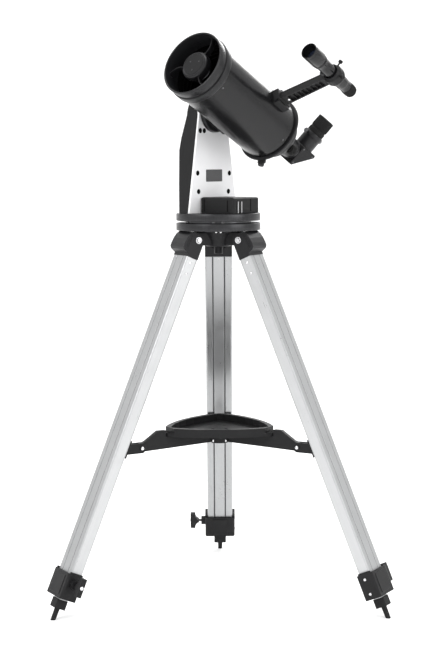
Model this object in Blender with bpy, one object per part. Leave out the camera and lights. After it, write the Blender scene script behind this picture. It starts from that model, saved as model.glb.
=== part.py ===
"""Short reflector telescope on a single-arm alt-azimuth mount and an aluminium tripod.

Metres, +Z up.  The origin is on the floor under the azimuth axis.  Leg 1 points along +Y, legs 2
and 3 follow counter-clockwise.  The mount's own frame has +X along the tube's heading, +Y from the
arm towards the tube and +Z up; it is turned about the azimuth axis by MOUNT_TURN.
"""

from math import atan2, cos, pi, radians, sin, sqrt

import bmesh
import bpy
from mathutils import Matrix, Vector

# ---------------------------------------------------------------- driving dimensions (metres)
GAP = 0.0003                    # gap between pieces that rest on each other
SLIDE_GAP = 0.0005              # gap around pieces that slide or turn
ROUND = 32                      # facets of a large round piece
BIG_ROUND = 44                  # facets of the tube and the discs
SMALL_ROUND = 14                # facets of a small round piece

# tripod legs
HINGE_RADIUS = 0.060  # azimuth axis to a leg's hinge bolt
HINGE_HEIGHT = 0.719
LEG_TILT = radians(23.4)  # leg from the vertical
LEG_WIDTH = 0.055
LEG_THICK = 0.025
LEG_WALL = 0.0023
GROOVE_PLACE = 0.0120  # groove from the middle of the wide face
GROOVE_WIDTH = 0.0032
GROOVE_DEPTH = 0.0011
CAP_LENGTH = 0.037  # hinge bolt to the upper end of the leg tube
EAR_RADIUS = 0.0125
EAR_THICK = 0.0135
BOLT_RADIUS = 0.0040
LOWER_WIDTH = 0.0265  # inner leg, across
LOWER_THICK = 0.018
LOWER_WALL = 0.002
LOWER_LENGTH = 0.500
CLAMP_LENGTH = 0.050
CLAMP_WIDTH = 0.066
CLAMP_OUTER = 0.0185  # clamp's outer and inner faces from the leg's centre line
CLAMP_INNER = 0.0165
CLAMP_GRIP = 0.010  # length of leg tube held in the clamp
FOOT_LENGTH = 0.018
FOOT_THICK = 0.023
TIP_LENGTH = 0.024
TIP_RADIUS = 0.0045
KNOB_REACH = 0.066  # clamp knob's outer end from the leg's centre line
KNOB_SPAN = 0.037
SCREW_RADIUS = 0.0025  # spreader and tray
HUB_PIN_RADIUS = 0.018          # azimuth axis to an arm's inner pin
HUB_PIN_HEIGHT = 0.3195
HUB_RADIUS = 0.022
HUB_THICK = 0.016
ARM_PIN_HEIGHT = 0.316
ARM_THICK = 0.009
PIN_RADIUS = 0.0020
TRAY_HEIGHT = 0.333  # underside of the tray
TRAY_FLOOR = 0.0025
TRAY_RIM = 0.0170
TRAY_RIM_THICK = 0.0028
TRAY_REACH = 0.124              # azimuth axis to a tray corner
TRAY_TAB = 0.0075  # height of the corner tab
TRAY_HOLE = 0.0040              # drain holes between the arms
TRAY_HOLE_PLACE = 0.0160
BRACKET_LENGTH = 0.036
BRACKET_PLATE = 0.0030
BRACKET_SHIFT = -0.0120           # outer spreader pin to the middle of the plate, up the leg
BRACKET_REACH = 0.0376           # leg's inner face to the outer spreader pin
CHEEK_THICK = 0.0030

# head and azimuth bearing
DISC_RADIUS = 0.0835
HEAD_TOP_RISE = 0.018           # hinge bolts to the top of the tripod head
LOWER_DISC_THICK = 0.0150
HUB_DROP = 0.0140               # hinge bolts to the underside of the head's hub
CENTRE_BOLT_RADIUS = 0.0085
CENTRE_BOLT_DROP = 0.0290
BEARING_RADIUS = 0.065
BEARING_THICK = 0.0034
UPPER_DISC_THICK = 0.0150
SPINDLE_RADIUS = 0.011
TONGUE_WIDTH = 0.0270
HEAD_RADIUS = 0.050
MOUNT_TURN = radians(231.0)
ALTITUDE_RISE = 0.1990          # azimuth plate to the altitude axis
PANEL_FACE = -0.012  # outer face of the front cover, along the mount's Y
PANEL_THICK = 0.0040
ARM_FOOT_HALF = 0.0745  # half width of the arm at its foot
ARM_TOP_HALF = 0.0430  # half width of the arm at the altitude axis
ARM_WALL = 0.0032
ARM_DEPTHS = ((0.0, 0.022), (0.058, 0.030), (0.123, 0.038), (0.147, 0.036), (0.208, 0.024),
              (0.250, 0.017))  # (height above the foot, depth of the arm)
BACK_COVER_THICK = 0.0025
BOX_FAR = 0.0725
BOX_FRONT = 0.042               # base box, along the mount's X
BOX_REAR = -0.040
BOX_HEIGHT = 0.0315
BOX_WALL = 0.0030
BOX_SHOULDER = 0.0080           # rounding of the box's upper edges

# altitude drive
SHAFT_RADIUS = 0.0080
GEAR_RADIUS = 0.034
GEAR_TEETH = 36
GEAR_THICK = 0.007
MOTOR_RADIUS = 0.0085
MOTOR_LENGTH = 0.040
ALT_HUB_RADIUS = 0.041
ALT_HUB_THICK = 0.0092

# optical tube, along the tube's own X from the altitude axis
ELEVATION = radians(27.0)
TUBE_RADIUS = 0.0625
TUBE_WALL = 0.0020
TUBE_FRONT = 0.163
TUBE_REAR = -0.075
LIP_FRONT = 0.187
LIP_STEP = 0.0018               # lip and flange outside the tube
FLANGE_STEP = 0.0085
SKIRT_STEP = 0.0014             # ring behind the lip, outside the lip
SKIRT_LENGTH = 0.0120           # length of that ring over the tube
MIRROR_ROOM = 0.0035            # tube's bore to the primary mirror
FLANGE_THICK = 0.0050
LUG_WIDTH = 0.0170              # lug on the flange
LUG_HEIGHT = 0.0050
CELL_RADIUS = 0.050
CELL_LENGTH = 0.032
HUB_FACE = 0.1815  # front face of the secondary housing
SECONDARY_RADIUS = 0.0280
SECONDARY_LENGTH = 0.022
VANE_THICK = 0.0014
VANE_DEPTH = 0.012
VANE_TURN = radians(17.0)
MIRROR_THICK = 0.010
BAFFLE_RADIUS = 0.0140
BAFFLE_LENGTH = 0.085
BAR_WIDTH = 0.044
BAR_THICK = 0.0071
BAR_FRONT = 0.105
BAR_REAR = -0.060
SADDLE_LENGTH = 0.072
SADDLE_PLATE = 0.0058
JAW_WIDTH = 0.0085
FOCUS_ANGLE = radians(124.0)  # from the tube's top towards +Y
FOCUS_PLACE = 0.040
FOCUS_RADIUS = 0.0100
FOCUS_LENGTH = 0.016
BACK_RADIUS = 0.026
BACK_LENGTH = 0.0277

# star diagonal and eyepiece
DIAGONAL_TURN = radians(32.2)  # from the tube's top towards +Y
BARREL_RADIUS = 0.01585
DIAGONAL_REACH = 0.0445  # visual back's end to the fold of the light path
DIAGONAL_HALF = 0.0205
HOLDER_RADIUS = 0.0195
HOLDER_LENGTH = 0.0330
COLLAR_STEP = 0.0014            # rims of the holder outside it
EYEPIECE_RADIUS = 0.0182
EYEPIECE_LENGTH = 0.0375
EYEPIECE_BARREL = 0.020

# finder
FINDER_PLACE = -0.014  # finder foot along the tube
FINDER_TURN = radians(65.4)  # from the tube's top towards +Y
FINDER_REACH = 0.188  # optical axis to the finder's own axis
SHOE_LENGTH = 0.036
SHOE_WIDTH = 0.030
SHOE_HEIGHT = 0.0120
STALK_LENGTH = 0.026
STALK_THICK = 0.0140
RING_RADIUS = 0.0192
RING_LENGTH = 0.028
FINDER_FRONT = 0.092
FINDER_REAR = -0.045
FINDER_RADIUS = 0.0130
OBJECTIVE_RADIUS = 0.0162
OBJECTIVE_LENGTH = 0.036
FINDER_WALL = 0.0016
OCULAR_RADIUS = 0.0118
OCULAR_LENGTH = 0.021

# ---------------------------------------------------------------- derived places
LEG_ANGLES = (radians(90), radians(210), radians(330))
TIP_DEPTH = HINGE_HEIGHT / cos(LEG_TILT)
FOOT_TOP = TIP_DEPTH - TIP_LENGTH - FOOT_LENGTH
CLAMP_BOTTOM = FOOT_TOP - 0.0035
CLAMP_TOP = CLAMP_BOTTOM - CLAMP_LENGTH
LEG_TUBE_END = CLAMP_TOP + CLAMP_GRIP
KNOB_DEPTH = CLAMP_TOP + 0.017
ARM_PIN_DROP = HINGE_HEIGHT - ARM_PIN_HEIGHT
ARM_PIN_RADIUS = HINGE_RADIUS + (ARM_PIN_DROP * sin(LEG_TILT) - LEG_THICK / 2 - BRACKET_REACH) / cos(LEG_TILT)
HEAD_BOTTOM = HINGE_HEIGHT - HUB_DROP
SPINDLE_BOTTOM = HEAD_BOTTOM + 0.006
LOWER_DISC_BOTTOM = HINGE_HEIGHT + HEAD_TOP_RISE
LOWER_DISC_TOP = LOWER_DISC_BOTTOM + LOWER_DISC_THICK
BEARING_TOP = LOWER_DISC_TOP + GAP + BEARING_THICK
PLATE_BOTTOM = BEARING_TOP + GAP
PLATE_TOP = PLATE_BOTTOM + UPPER_DISC_THICK
ARM_FOOT = PLATE_TOP + GAP
PIVOT_HEIGHT = PLATE_TOP + ALTITUDE_RISE
CORE_FACE = PANEL_FACE - PANEL_THICK - GAP
HUB_OUTER = PANEL_FACE + SLIDE_GAP + ALT_HUB_THICK
SADDLE_FACE = HUB_OUTER + GAP + SADDLE_PLATE
BAR_FACE = SADDLE_FACE + GAP
AXIS_OFFSET = BAR_FACE + BAR_THICK + GAP + TUBE_RADIUS
LIP_RADIUS = TUBE_RADIUS + LIP_STEP
SKIRT_RADIUS = LIP_RADIUS + SKIRT_STEP
SKIRT_END = TUBE_FRONT - SKIRT_LENGTH
FLANGE_RADIUS = TUBE_RADIUS + FLANGE_STEP
MIRROR_RADIUS = TUBE_RADIUS - TUBE_WALL - MIRROR_ROOM
BOX_NEAR = PANEL_FACE + GAP
CELL_END = TUBE_REAR - FLANGE_THICK - CELL_LENGTH
BACK_END = CELL_END - GAP - BACK_LENGTH
FOLD_PLACE = BACK_END - DIAGONAL_REACH

BLACK = (0.018, 0.018, 0.019)
CHARCOAL = (0.035, 0.035, 0.037)


# ---------------------------------------------------------------- scene and materials
def clear_scene():
    for item in list(bpy.data.objects):
        bpy.data.objects.remove(item, do_unlink=True)


def make_finish(name, colour, roughness, metallic):
    finish = bpy.data.materials.new(name)
    finish.use_nodes = True
    shader = finish.node_tree.nodes["Principled BSDF"]
    shader.inputs["Base Color"].default_value = (*colour, 1.0)
    shader.inputs["Roughness"].default_value = roughness
    shader.inputs["Metallic"].default_value = metallic
    return finish


def make_frame(name, parent=None, location=(0, 0, 0), rotation=(0, 0, 0)):
    frame = bpy.data.objects.new(name, None)
    bpy.context.scene.collection.objects.link(frame)
    frame.parent = parent
    frame.location = location
    frame.rotation_euler = rotation
    return frame


# ---------------------------------------------------------------- shapes
def to_mesh(working):
    bmesh.ops.remove_doubles(working, verts=working.verts, dist=0.000002)
    bmesh.ops.recalc_face_normals(working, faces=working.faces)
    mesh = bpy.data.meshes.new("shape")
    working.to_mesh(mesh)
    working.free()
    return mesh


def turned(profile, facets=ROUND, axis="Z"):
    """Solid of revolution; profile holds (radius, height) points, open ends lie on the axis."""
    working = bmesh.new()
    points = [working.verts.new((radius, 0, height)) for radius, height in profile]
    closed = profile[0][0] > 0
    pairs = list(zip(points, points[1:]))
    if closed:
        pairs.append((points[-1], points[0]))
    edges = [working.edges.new(pair) for pair in pairs]
    bmesh.ops.spin(working, geom=points + edges, cent=(0, 0, 0), axis=(0, 0, 1), angle=2 * pi,
                   steps=facets, use_merge=True)
    mesh = to_mesh(working)
    if axis == "X":
        mesh.transform(Matrix.Rotation(pi / 2, 4, "Y"))
    if axis == "Y":
        mesh.transform(Matrix.Rotation(-pi / 2, 4, "X"))
    return mesh


def rod(radius, low, high, facets=SMALL_ROUND, axis="Z"):
    return turned([(0, low), (radius, low), (radius, high), (0, high)], facets, axis)


def ring(outer, inner, low, high, facets=ROUND, axis="Z"):
    return turned([(inner, low), (outer, low), (outer, high), (inner, high)], facets, axis)


def prism(outline, low, high, axis="Z"):
    """Outline pulled along an axis; its points are (x, y), (x, z) or (y, z) in that order."""
    spots = {"Z": lambda a, b, c: (a, b, c), "Y": lambda a, b, c: (a, c, b),
             "X": lambda a, b, c: (c, a, b)}[axis]
    working = bmesh.new()
    face = working.faces.new([working.verts.new(spots(a, b, low)) for a, b in outline])
    pulled = bmesh.ops.extrude_face_region(working, geom=[face])
    corners = [item for item in pulled["geom"] if isinstance(item, bmesh.types.BMVert)]
    bmesh.ops.translate(working, verts=corners, vec=spots(0, 0, high - low))
    return to_mesh(working)


def block(low, high):
    outline = [(low[0], low[1]), (high[0], low[1]), (high[0], high[1]), (low[0], high[1])]
    return prism(outline, low[2], high[2])


def arc(centre, radius, start, end, steps):
    turns = [start + (end - start) * step / steps for step in range(steps + 1)]
    return [(centre[0] + radius * cos(turn), centre[1] + radius * sin(turn)) for turn in turns]


def rounded(low, high, radius, steps=3):
    """Outline of a rectangle with round corners."""
    corners = ((high[0] - radius, high[1] - radius), (low[0] + radius, high[1] - radius),
               (low[0] + radius, low[1] + radius), (high[0] - radius, low[1] + radius))
    outline = []
    for number, centre in enumerate(corners):
        outline += arc(centre, radius, number * pi / 2, (number + 1) * pi / 2, steps)
    return outline


def moved(shape, offset=(0, 0, 0), turn=None):
    if turn is not None:
        shape.transform(turn.to_4x4())
    shape.transform(Matrix.Translation(offset))
    return shape


def combined(base, tool, operation):
    """Exact boolean of two closed shapes."""
    holder = bpy.data.objects.new("base", base)
    cutter = bpy.data.objects.new("tool", tool)
    for item in (holder, cutter):
        bpy.context.scene.collection.objects.link(item)
    step = holder.modifiers.new("cut", "BOOLEAN")
    step.operation = operation
    step.solver = "EXACT"
    step.object = cutter
    bpy.context.view_layer.update()
    graph = bpy.context.evaluated_depsgraph_get()
    result = bpy.data.meshes.new_from_object(holder.evaluated_get(graph))
    for item in (holder, cutter):
        bpy.data.objects.remove(item, do_unlink=True)
    return result


def joined(base, *tools):
    for tool in tools:
        base = combined(base, tool, "UNION")
    return base


def less(base, *tools):
    for tool in tools:
        base = combined(base, tool, "DIFFERENCE")
    return base


def place(name, shape, finish, parent, location=(0, 0, 0), rotation=(0, 0, 0)):
    shape.name = name
    shape.materials.clear()
    shape.materials.append(finish)
    shape.shade_smooth()
    shape.set_sharp_from_angle(angle=radians(35))
    piece = bpy.data.objects.new(name, shape)
    bpy.context.scene.collection.objects.link(piece)
    piece.parent = parent
    piece.location = location
    piece.rotation_euler = rotation
    return piece


# ---------------------------------------------------------------- legs
# A leg's frame has its origin on the hinge bolt, +X outwards, +Y along the bolt, +Z up the leg.
def leg_cap_shape():
    ear_inner = TONGUE_WIDTH / 2 + SLIDE_GAP
    ear_outer = ear_inner + EAR_THICK
    half_thick = LEG_THICK / 2
    lobe = [(0.006, 0.0122), (0.0170, 0.0115), (0.0190, 0.0105), (0.0232, 0.0035), (0.0257, -0.0060),
            (0.0268, -0.0160), (0.0265, -0.0235), (0.0235, -0.0275), (0.0200, -0.0290),
            (half_thick, -0.0317), (half_thick, -CAP_LENGTH),
            (-half_thick, -CAP_LENGTH)]
    side = lobe + arc((0, 0), EAR_RADIUS, pi, pi / 2, 6)[:-1]
    body = prism(side, -ear_outer, ear_outer, "Y")
    pocket_depth = EAR_RADIUS + 0.004
    pocket = [(-0.030, -pocket_depth)] + arc((0, 0), pocket_depth, -pi / 2, 0, 6)
    pocket += [(pocket_depth, 0.030), (-0.030, 0.030)]
    slot = prism(pocket, -ear_inner, ear_inner, "Y")
    hole = rod(BOLT_RADIUS + SLIDE_GAP, -0.05, 0.05, SMALL_ROUND, "Y")
    inside = (LEG_THICK / 2 - LEG_WALL - GAP, LEG_WIDTH / 2 - LEG_WALL - GAP)
    plug = block((-inside[0], -inside[1], -CAP_LENGTH - 0.030),
                 (inside[0], inside[1], -CAP_LENGTH + 0.004))
    return joined(less(body, slot, hole), plug)


def leg_tube_outline():
    half_thick = LEG_THICK / 2
    half_groove = GROOVE_WIDTH / 2
    outline = rounded((-half_thick, -LEG_WIDTH / 2), (half_thick, LEG_WIDTH / 2), 0.0030)
    grooves = []
    for place_y in (-GROOVE_PLACE, GROOVE_PLACE):
        grooves += [(half_thick, place_y - half_groove),
                    (half_thick - GROOVE_DEPTH, place_y - half_groove * 0.6),
                    (half_thick - GROOVE_DEPTH, place_y + half_groove * 0.6),
                    (half_thick, place_y + half_groove)]
    quarter = len(outline) // 2
    far_side = [(-a, -b) for a, b in grooves]
    return outline[:quarter] + far_side + outline[quarter:] + grooves


def leg_tube_shape():
    shell = prism(leg_tube_outline(), -LEG_TUBE_END, -CAP_LENGTH - GAP)
    half = (LEG_THICK / 2 - LEG_WALL, LEG_WIDTH / 2 - LEG_WALL)
    bore = block((-half[0], -half[1], -LEG_TUBE_END - 0.01), (half[0], half[1], 0))
    return less(shell, bore)


def leg_clamp_shape():
    half = CLAMP_WIDTH / 2
    outline = rounded((-CLAMP_INNER, -half), (CLAMP_OUTER, half), 0.0045)
    shell = prism(outline, -CLAMP_BOTTOM, -CLAMP_TOP)
    tube_half = (LEG_THICK / 2 + GAP, LEG_WIDTH / 2 + GAP)
    socket = block((-tube_half[0], -tube_half[1], -LEG_TUBE_END - GAP), (tube_half[0], tube_half[1], 0))
    bore_half = (LOWER_THICK / 2 + SLIDE_GAP, LOWER_WIDTH / 2 + SLIDE_GAP)
    bore = block((-bore_half[0], -bore_half[1], -1), (bore_half[0], bore_half[1], 0))
    boss = rod(0.0095, half - 0.004, 0.042, SMALL_ROUND, "Y")
    screw_hole = rod(SCREW_RADIUS + SLIDE_GAP, LOWER_WIDTH / 2, 0.05, SMALL_ROUND, "Y")
    for piece in (boss, screw_hole):
        moved(piece, (0, 0, -KNOB_DEPTH))
    return less(joined(shell, boss), socket, bore, screw_hole)


def clamp_knob_shape():
    neck = 0.0470
    wing = [(neck, 0.0032), (neck + 0.0045, 0.0050), (neck + 0.0075, 0.0110),
            (neck + 0.0085, KNOB_SPAN / 2), (KNOB_REACH - 0.001, KNOB_SPAN / 2),
            (KNOB_REACH, KNOB_SPAN / 2 - 0.001)]
    outline = wing + [(a, -b) for a, b in reversed(wing)]
    grip = prism(outline, -0.0050, 0.0050, "X")
    screw = rod(SCREW_RADIUS, LOWER_WIDTH / 2 + 0.0008, neck + 0.004, SMALL_ROUND, "Y")
    return joined(grip, screw)


def lower_leg_shape():
    half = (LOWER_THICK / 2, LOWER_WIDTH / 2)
    tube = prism(rounded((-half[0], -half[1]), half, 0.002, 2), -FOOT_TOP + GAP, -FOOT_TOP + LOWER_LENGTH)
    inner = (half[0] - LOWER_WALL, half[1] - LOWER_WALL)
    bore = block((-inner[0], -inner[1], -1), (inner[0], inner[1], 1))
    return less(tube, bore)


def foot_shape():
    half = (FOOT_THICK / 2, LOWER_WIDTH / 2)
    body = prism(rounded((-half[0], -half[1]), half, 0.003), -FOOT_TOP - FOOT_LENGTH, -FOOT_TOP)
    inner = (LOWER_THICK / 2 - LOWER_WALL - GAP, LOWER_WIDTH / 2 - LOWER_WALL - GAP)
    plug = block((-inner[0], -inner[1], -FOOT_TOP - 0.004), (inner[0], inner[1], -FOOT_TOP + 0.030))
    tip = turned([(0, -TIP_DEPTH - 0.006), (TIP_RADIUS, -TIP_DEPTH - 0.006),
                  (TIP_RADIUS + 0.001, -TIP_DEPTH + TIP_LENGTH + 0.003),
                  (0, -TIP_DEPTH + TIP_LENGTH + 0.003)], SMALL_ROUND)
    return cut_at_floor(joined(body, plug, tip))


def cut_at_floor(shape):
    """Cuts the tip flat where it meets the floor, which is level in the world, not in the leg."""
    working = bmesh.new()
    working.from_mesh(shape)
    up = Vector((sin(LEG_TILT), 0, cos(LEG_TILT)))
    floor_point = up * -HINGE_HEIGHT
    everything = list(working.verts) + list(working.edges) + list(working.faces)
    sliced = bmesh.ops.bisect_plane(working, geom=everything, plane_co=floor_point, plane_no=-up,
                                    clear_outer=True)
    rim = [item for item in sliced["geom_cut"] if isinstance(item, bmesh.types.BMEdge)]
    bmesh.ops.contextual_create(working, geom=rim)
    return to_mesh(working)


def bracket_pin_place():
    """Outer spreader pin in the leg's frame, as (x, z)."""
    out = ARM_PIN_RADIUS - HINGE_RADIUS
    down = HINGE_HEIGHT - ARM_PIN_HEIGHT
    return (out * cos(LEG_TILT) - down * sin(LEG_TILT), -(out * sin(LEG_TILT) + down * cos(LEG_TILT)))


def leg_bracket_shape():
    pin_x, pin_z = bracket_pin_place()
    face = -LEG_THICK / 2 - GAP
    half = BRACKET_LENGTH / 2
    middle = pin_z + BRACKET_SHIFT
    plate = block((face - BRACKET_PLATE, -0.025, middle - half), (face, 0.025, middle + half))
    notch = block((face - 0.01, -0.0125, middle + half - 0.006), (face + 0.01, 0.0125, middle + 0.1))
    shape = less(plate, notch)
    root = face - BRACKET_PLATE / 2
    level = Vector((cos(LEG_TILT), -sin(LEG_TILT)))
    upright = Vector((sin(LEG_TILT), cos(LEG_TILT)))
    pin = Vector((pin_x, pin_z))
    cheek = [pin - level * 0.0088 + upright * 0.0070, pin - level * 0.0060 + upright * 0.0095]
    for rise in (0.0095, -0.0100):
        edge = pin + upright * rise
        cheek.append(edge + level * ((root - edge.x) / level.x))
    cheek += [pin - level * 0.0030 - upright * 0.0100, pin - level * 0.0088 - upright * 0.0050]
    inner = ARM_THICK / 2 + SLIDE_GAP
    for side in (-1, 1):
        faces = sorted((side * inner, side * (inner + CHEEK_THICK)))
        head = sorted((side * (inner + CHEEK_THICK - 0.001), side * (inner + CHEEK_THICK + 0.0022)))
        rivet = moved(rod(0.0040, head[0], head[1], 12, "Y"), (pin_x, 0, pin_z))
        shape = joined(shape, prism(cheek, faces[0], faces[1], "Y"), rivet)
    return shape


def hinge_bolt_shape():
    reach = TONGUE_WIDTH / 2 + SLIDE_GAP + EAR_THICK
    shank = rod(BOLT_RADIUS, -reach - 0.002, reach + 0.002, SMALL_ROUND, "Y")
    heads = [rod(0.0066, reach + GAP, reach + 0.0045, 6, "Y"),
             rod(0.0066, -reach - 0.0045, -reach - GAP, 6, "Y")]
    return joined(shank, *heads)


def build_leg(number, angle, finishes):
    corner = (HINGE_RADIUS * cos(angle), HINGE_RADIUS * sin(angle), HINGE_HEIGHT)
    frame = make_frame(f"leg_{number}_hinge", None, corner, (0, -LEG_TILT, angle))
    frame.rotation_mode = "XYZ"
    place(f"leg_{number}_cap", leg_cap_shape(), finishes["plastic"], frame)
    place(f"leg_{number}_tube", leg_tube_shape(), finishes["aluminium"], frame)
    place(f"leg_{number}_clamp", leg_clamp_shape(), finishes["plastic"], frame)
    place(f"leg_{number}_bracket", leg_bracket_shape(), finishes["plastic"], frame)
    place(f"leg_{number}_bolt", hinge_bolt_shape(), finishes["steel"], frame)
    place(f"leg_{number}_clamp_knob", clamp_knob_shape(), finishes["plastic"], frame, (0, 0, -KNOB_DEPTH))
    place(f"lower_leg_{number}", lower_leg_shape(), finishes["aluminium"], frame)
    place(f"foot_{number}", foot_shape(), finishes["rubber"], frame)


# ---------------------------------------------------------------- spreader and tray
def spreader_arm_shape():
    """Arm in its own frame: origin on the inner pin, +X outwards."""
    out = ARM_PIN_RADIUS - HUB_PIN_RADIUS
    down = ARM_PIN_HEIGHT - HUB_PIN_HEIGHT
    seat = TRAY_HEIGHT - GAP - HUB_PIN_HEIGHT
    stop = TRAY_REACH - HUB_PIN_RADIUS + SLIDE_GAP
    rise = 0.0135
    outline = arc((0, 0), 0.0065, pi / 2, 3 * pi / 2, 6)
    outline += arc((out, down), 0.0080, -pi / 2, pi / 2 - 0.3, 7)
    outline += [(out - 0.0100, 0.0085), (stop + 0.0175, seat + rise), (stop + 0.0010, seat + rise),
                (stop, seat + rise - 0.001), (stop, seat), (stop - 0.020, seat), (stop - 0.026, seat - 0.003),
                (0.026, 0.0085)]
    hole = rod(PIN_RADIUS + SLIDE_GAP, -0.02, 0.02, 12, "Y")
    return less(prism(outline, -ARM_THICK / 2, ARM_THICK / 2, "Y"), hole)


def spreader_hub_shape():
    body = rod(HUB_RADIUS, HUB_PIN_HEIGHT - HUB_THICK / 2, HUB_PIN_HEIGHT + HUB_THICK / 2, ROUND)
    slot_half = ARM_THICK / 2 + SLIDE_GAP
    slots = []
    pins = []
    for angle in LEG_ANGLES:
        turn = Matrix.Rotation(angle, 3, "Z")
        slots.append(moved(block((0.0088, -slot_half, 0), (0.05, slot_half, 1)), (0, 0, 0), turn))
        pin = rod(PIN_RADIUS, -slot_half - 0.004, slot_half + 0.004, 12, "Y")
        pins.append(moved(moved(pin, (HUB_PIN_RADIUS, 0, HUB_PIN_HEIGHT)), (0, 0, 0), turn))
    return joined(less(body, *slots), *pins)


def tray_outline(reach, corner, bulge):
    """Rounded triangle whose corners reach towards the legs and whose sides bow outwards."""
    points = []
    for angle in LEG_ANGLES:
        centre = ((reach - corner) * cos(angle), (reach - corner) * sin(angle))
        points += arc(centre, corner, angle - radians(52), angle + radians(52), 4)
        start = Vector(points[-1])
        following = angle + radians(120)
        next_centre = Vector(((reach - corner) * cos(following), (reach - corner) * sin(following)))
        end = next_centre + corner * Vector((cos(following - radians(52)), sin(following - radians(52))))
        outward = Vector((cos(angle + radians(60)), sin(angle + radians(60))))
        for step in range(1, 6):
            share = step / 6
            point = start.lerp(end, share) + outward * bulge * 4 * share * (1 - share)
            points.append((point.x, point.y))
    return points


def tray_shape():
    bulge = 0.018
    top = TRAY_HEIGHT + TRAY_RIM
    shell = prism(tray_outline(TRAY_REACH, 0.016, bulge), TRAY_HEIGHT, top)
    inner = tray_outline(TRAY_REACH - 0.014, 0.012, bulge)
    hollow = prism(inner, TRAY_HEIGHT + TRAY_FLOOR, top + 0.01)
    shape = less(shell, hollow)
    for angle in LEG_ANGLES:
        turn = Matrix.Rotation(angle, 3, "Z")
        corner = block((TRAY_REACH - 0.0105, -0.05, TRAY_HEIGHT + TRAY_TAB), (0.2, 0.05, top + 0.01))
        shape = less(shape, moved(corner, (0, 0, 0), turn))
        between_arms = Matrix.Rotation(angle + pi / 3, 3, "Z")
        hole = moved(rod(TRAY_HOLE, 0, 1, SMALL_ROUND), (TRAY_HOLE_PLACE, 0, 0))
        shape = less(shape, moved(hole, (0, 0, 0), between_arms))
    return shape


def build_spreader(finishes):
    place("spreader_hub", spreader_hub_shape(), finishes["plastic"], None)
    place("accessory_tray", tray_shape(), finishes["plastic"], None)
    for number, angle in enumerate(LEG_ANGLES, 1):
        spot = (HUB_PIN_RADIUS * cos(angle), HUB_PIN_RADIUS * sin(angle), HUB_PIN_HEIGHT)
        place(f"spreader_arm_{number}", spreader_arm_shape(), finishes["plastic"], None, spot, (0, 0, angle))


# ---------------------------------------------------------------- tripod head and azimuth bearing
def tripod_head_shape():
    """Hub and top plate with three tongues; blind bore for the azimuth spindle."""
    top = LOWER_DISC_BOTTOM - GAP
    shelf = HINGE_HEIGHT + EAR_RADIUS + 0.0015
    bottom = HEAD_BOTTOM
    bore = SPINDLE_RADIUS + GAP
    bolt_end = HINGE_HEIGHT - CENTRE_BOLT_DROP
    shape = turned([(0, bolt_end), (CENTRE_BOLT_RADIUS - 0.001, bolt_end),
                    (CENTRE_BOLT_RADIUS, bolt_end + 0.001), (CENTRE_BOLT_RADIUS, bottom),
                    (0.024, bottom), (0.026, bottom + 0.002), (0.029, HINGE_HEIGHT),
                    (0.037, shelf), (HEAD_RADIUS, shelf), (HEAD_RADIUS, top), (bore, top),
                    (bore, SPINDLE_BOTTOM - GAP), (0, SPINDLE_BOTTOM - GAP)])
    tip = EAR_RADIUS - 0.0008
    side = arc((HINGE_RADIUS, HINGE_HEIGHT), tip, -pi / 2, pi / 2, 8)
    side += [(HINGE_RADIUS - 0.012, shelf + 0.001), (0.026, shelf + 0.001), (0.024, HINGE_HEIGHT - tip + 0.001)]
    for angle in LEG_ANGLES:
        turn = Matrix.Rotation(angle, 3, "Z")
        tongue = prism(side, -TONGUE_WIDTH / 2, TONGUE_WIDTH / 2, "Y")
        hole = rod(BOLT_RADIUS + GAP, -0.03, 0.03, SMALL_ROUND, "Y")
        moved(hole, (HINGE_RADIUS, 0, HINGE_HEIGHT))
        shape = joined(shape, moved(less(tongue, hole), (0, 0, 0), turn))
    return shape


def disc_profile(bottom, thick, bevel):
    top = bottom + thick
    return [(DISC_RADIUS - bevel, bottom), (DISC_RADIUS, bottom + bevel), (DISC_RADIUS, top - bevel),
            (DISC_RADIUS - bevel, top)]


def build_head(finishes):
    place("tripod_head", tripod_head_shape(), finishes["plastic"], None)
    bore = SPINDLE_RADIUS + GAP
    rim = disc_profile(LOWER_DISC_BOTTOM, LOWER_DISC_THICK, 0.0015)
    lower = turned([(bore, LOWER_DISC_BOTTOM)] + rim + [(bore, LOWER_DISC_TOP)], BIG_ROUND)
    place("lower_disc", lower, finishes["satin_metal"], None)
    low = LOWER_DISC_TOP + GAP
    bearing = turned([(0, SPINDLE_BOTTOM), (SPINDLE_RADIUS, SPINDLE_BOTTOM), (SPINDLE_RADIUS, low),
                      (BEARING_RADIUS, low), (BEARING_RADIUS, BEARING_TOP), (SPINDLE_RADIUS, BEARING_TOP),
                      (SPINDLE_RADIUS, PLATE_TOP - 0.002), (0, PLATE_TOP - 0.002)])
    place("azimuth_bearing", bearing, finishes["steel"], None)


# ---------------------------------------------------------------- mount arm
def arm_outline(inset):
    """Front view of the arm in (x, z): a taper with a round top about the altitude axis."""
    foot = ARM_FOOT + (inset if inset > 0.002 else 0)
    top = ARM_TOP_HALF - inset
    lean = atan2(ARM_FOOT_HALF - ARM_TOP_HALF, PIVOT_HEIGHT - ARM_FOOT)
    outline = arc((0, PIVOT_HEIGHT), top, -lean, pi + lean, 20)
    foot_half = ARM_FOOT_HALF - inset
    return outline + [(-foot_half, foot), (foot_half, foot)]


def arm_depth_profile(offset, rear=None):
    """Side view of the arm in (y, z), from the core's front face to its back face plus offset."""
    back = [(CORE_FACE - depth - offset, ARM_FOOT + rise) for rise, depth in ARM_DEPTHS]
    bottom = ARM_FOOT - 0.01
    top = ARM_FOOT + ARM_DEPTHS[-1][0]
    back = [(back[0][0], bottom)] + back
    if rear is None:
        return back + [(CORE_FACE, top), (CORE_FACE, bottom)]
    outer = [(a - rear, b) for a, b in reversed(back)]
    return back + outer


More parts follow.
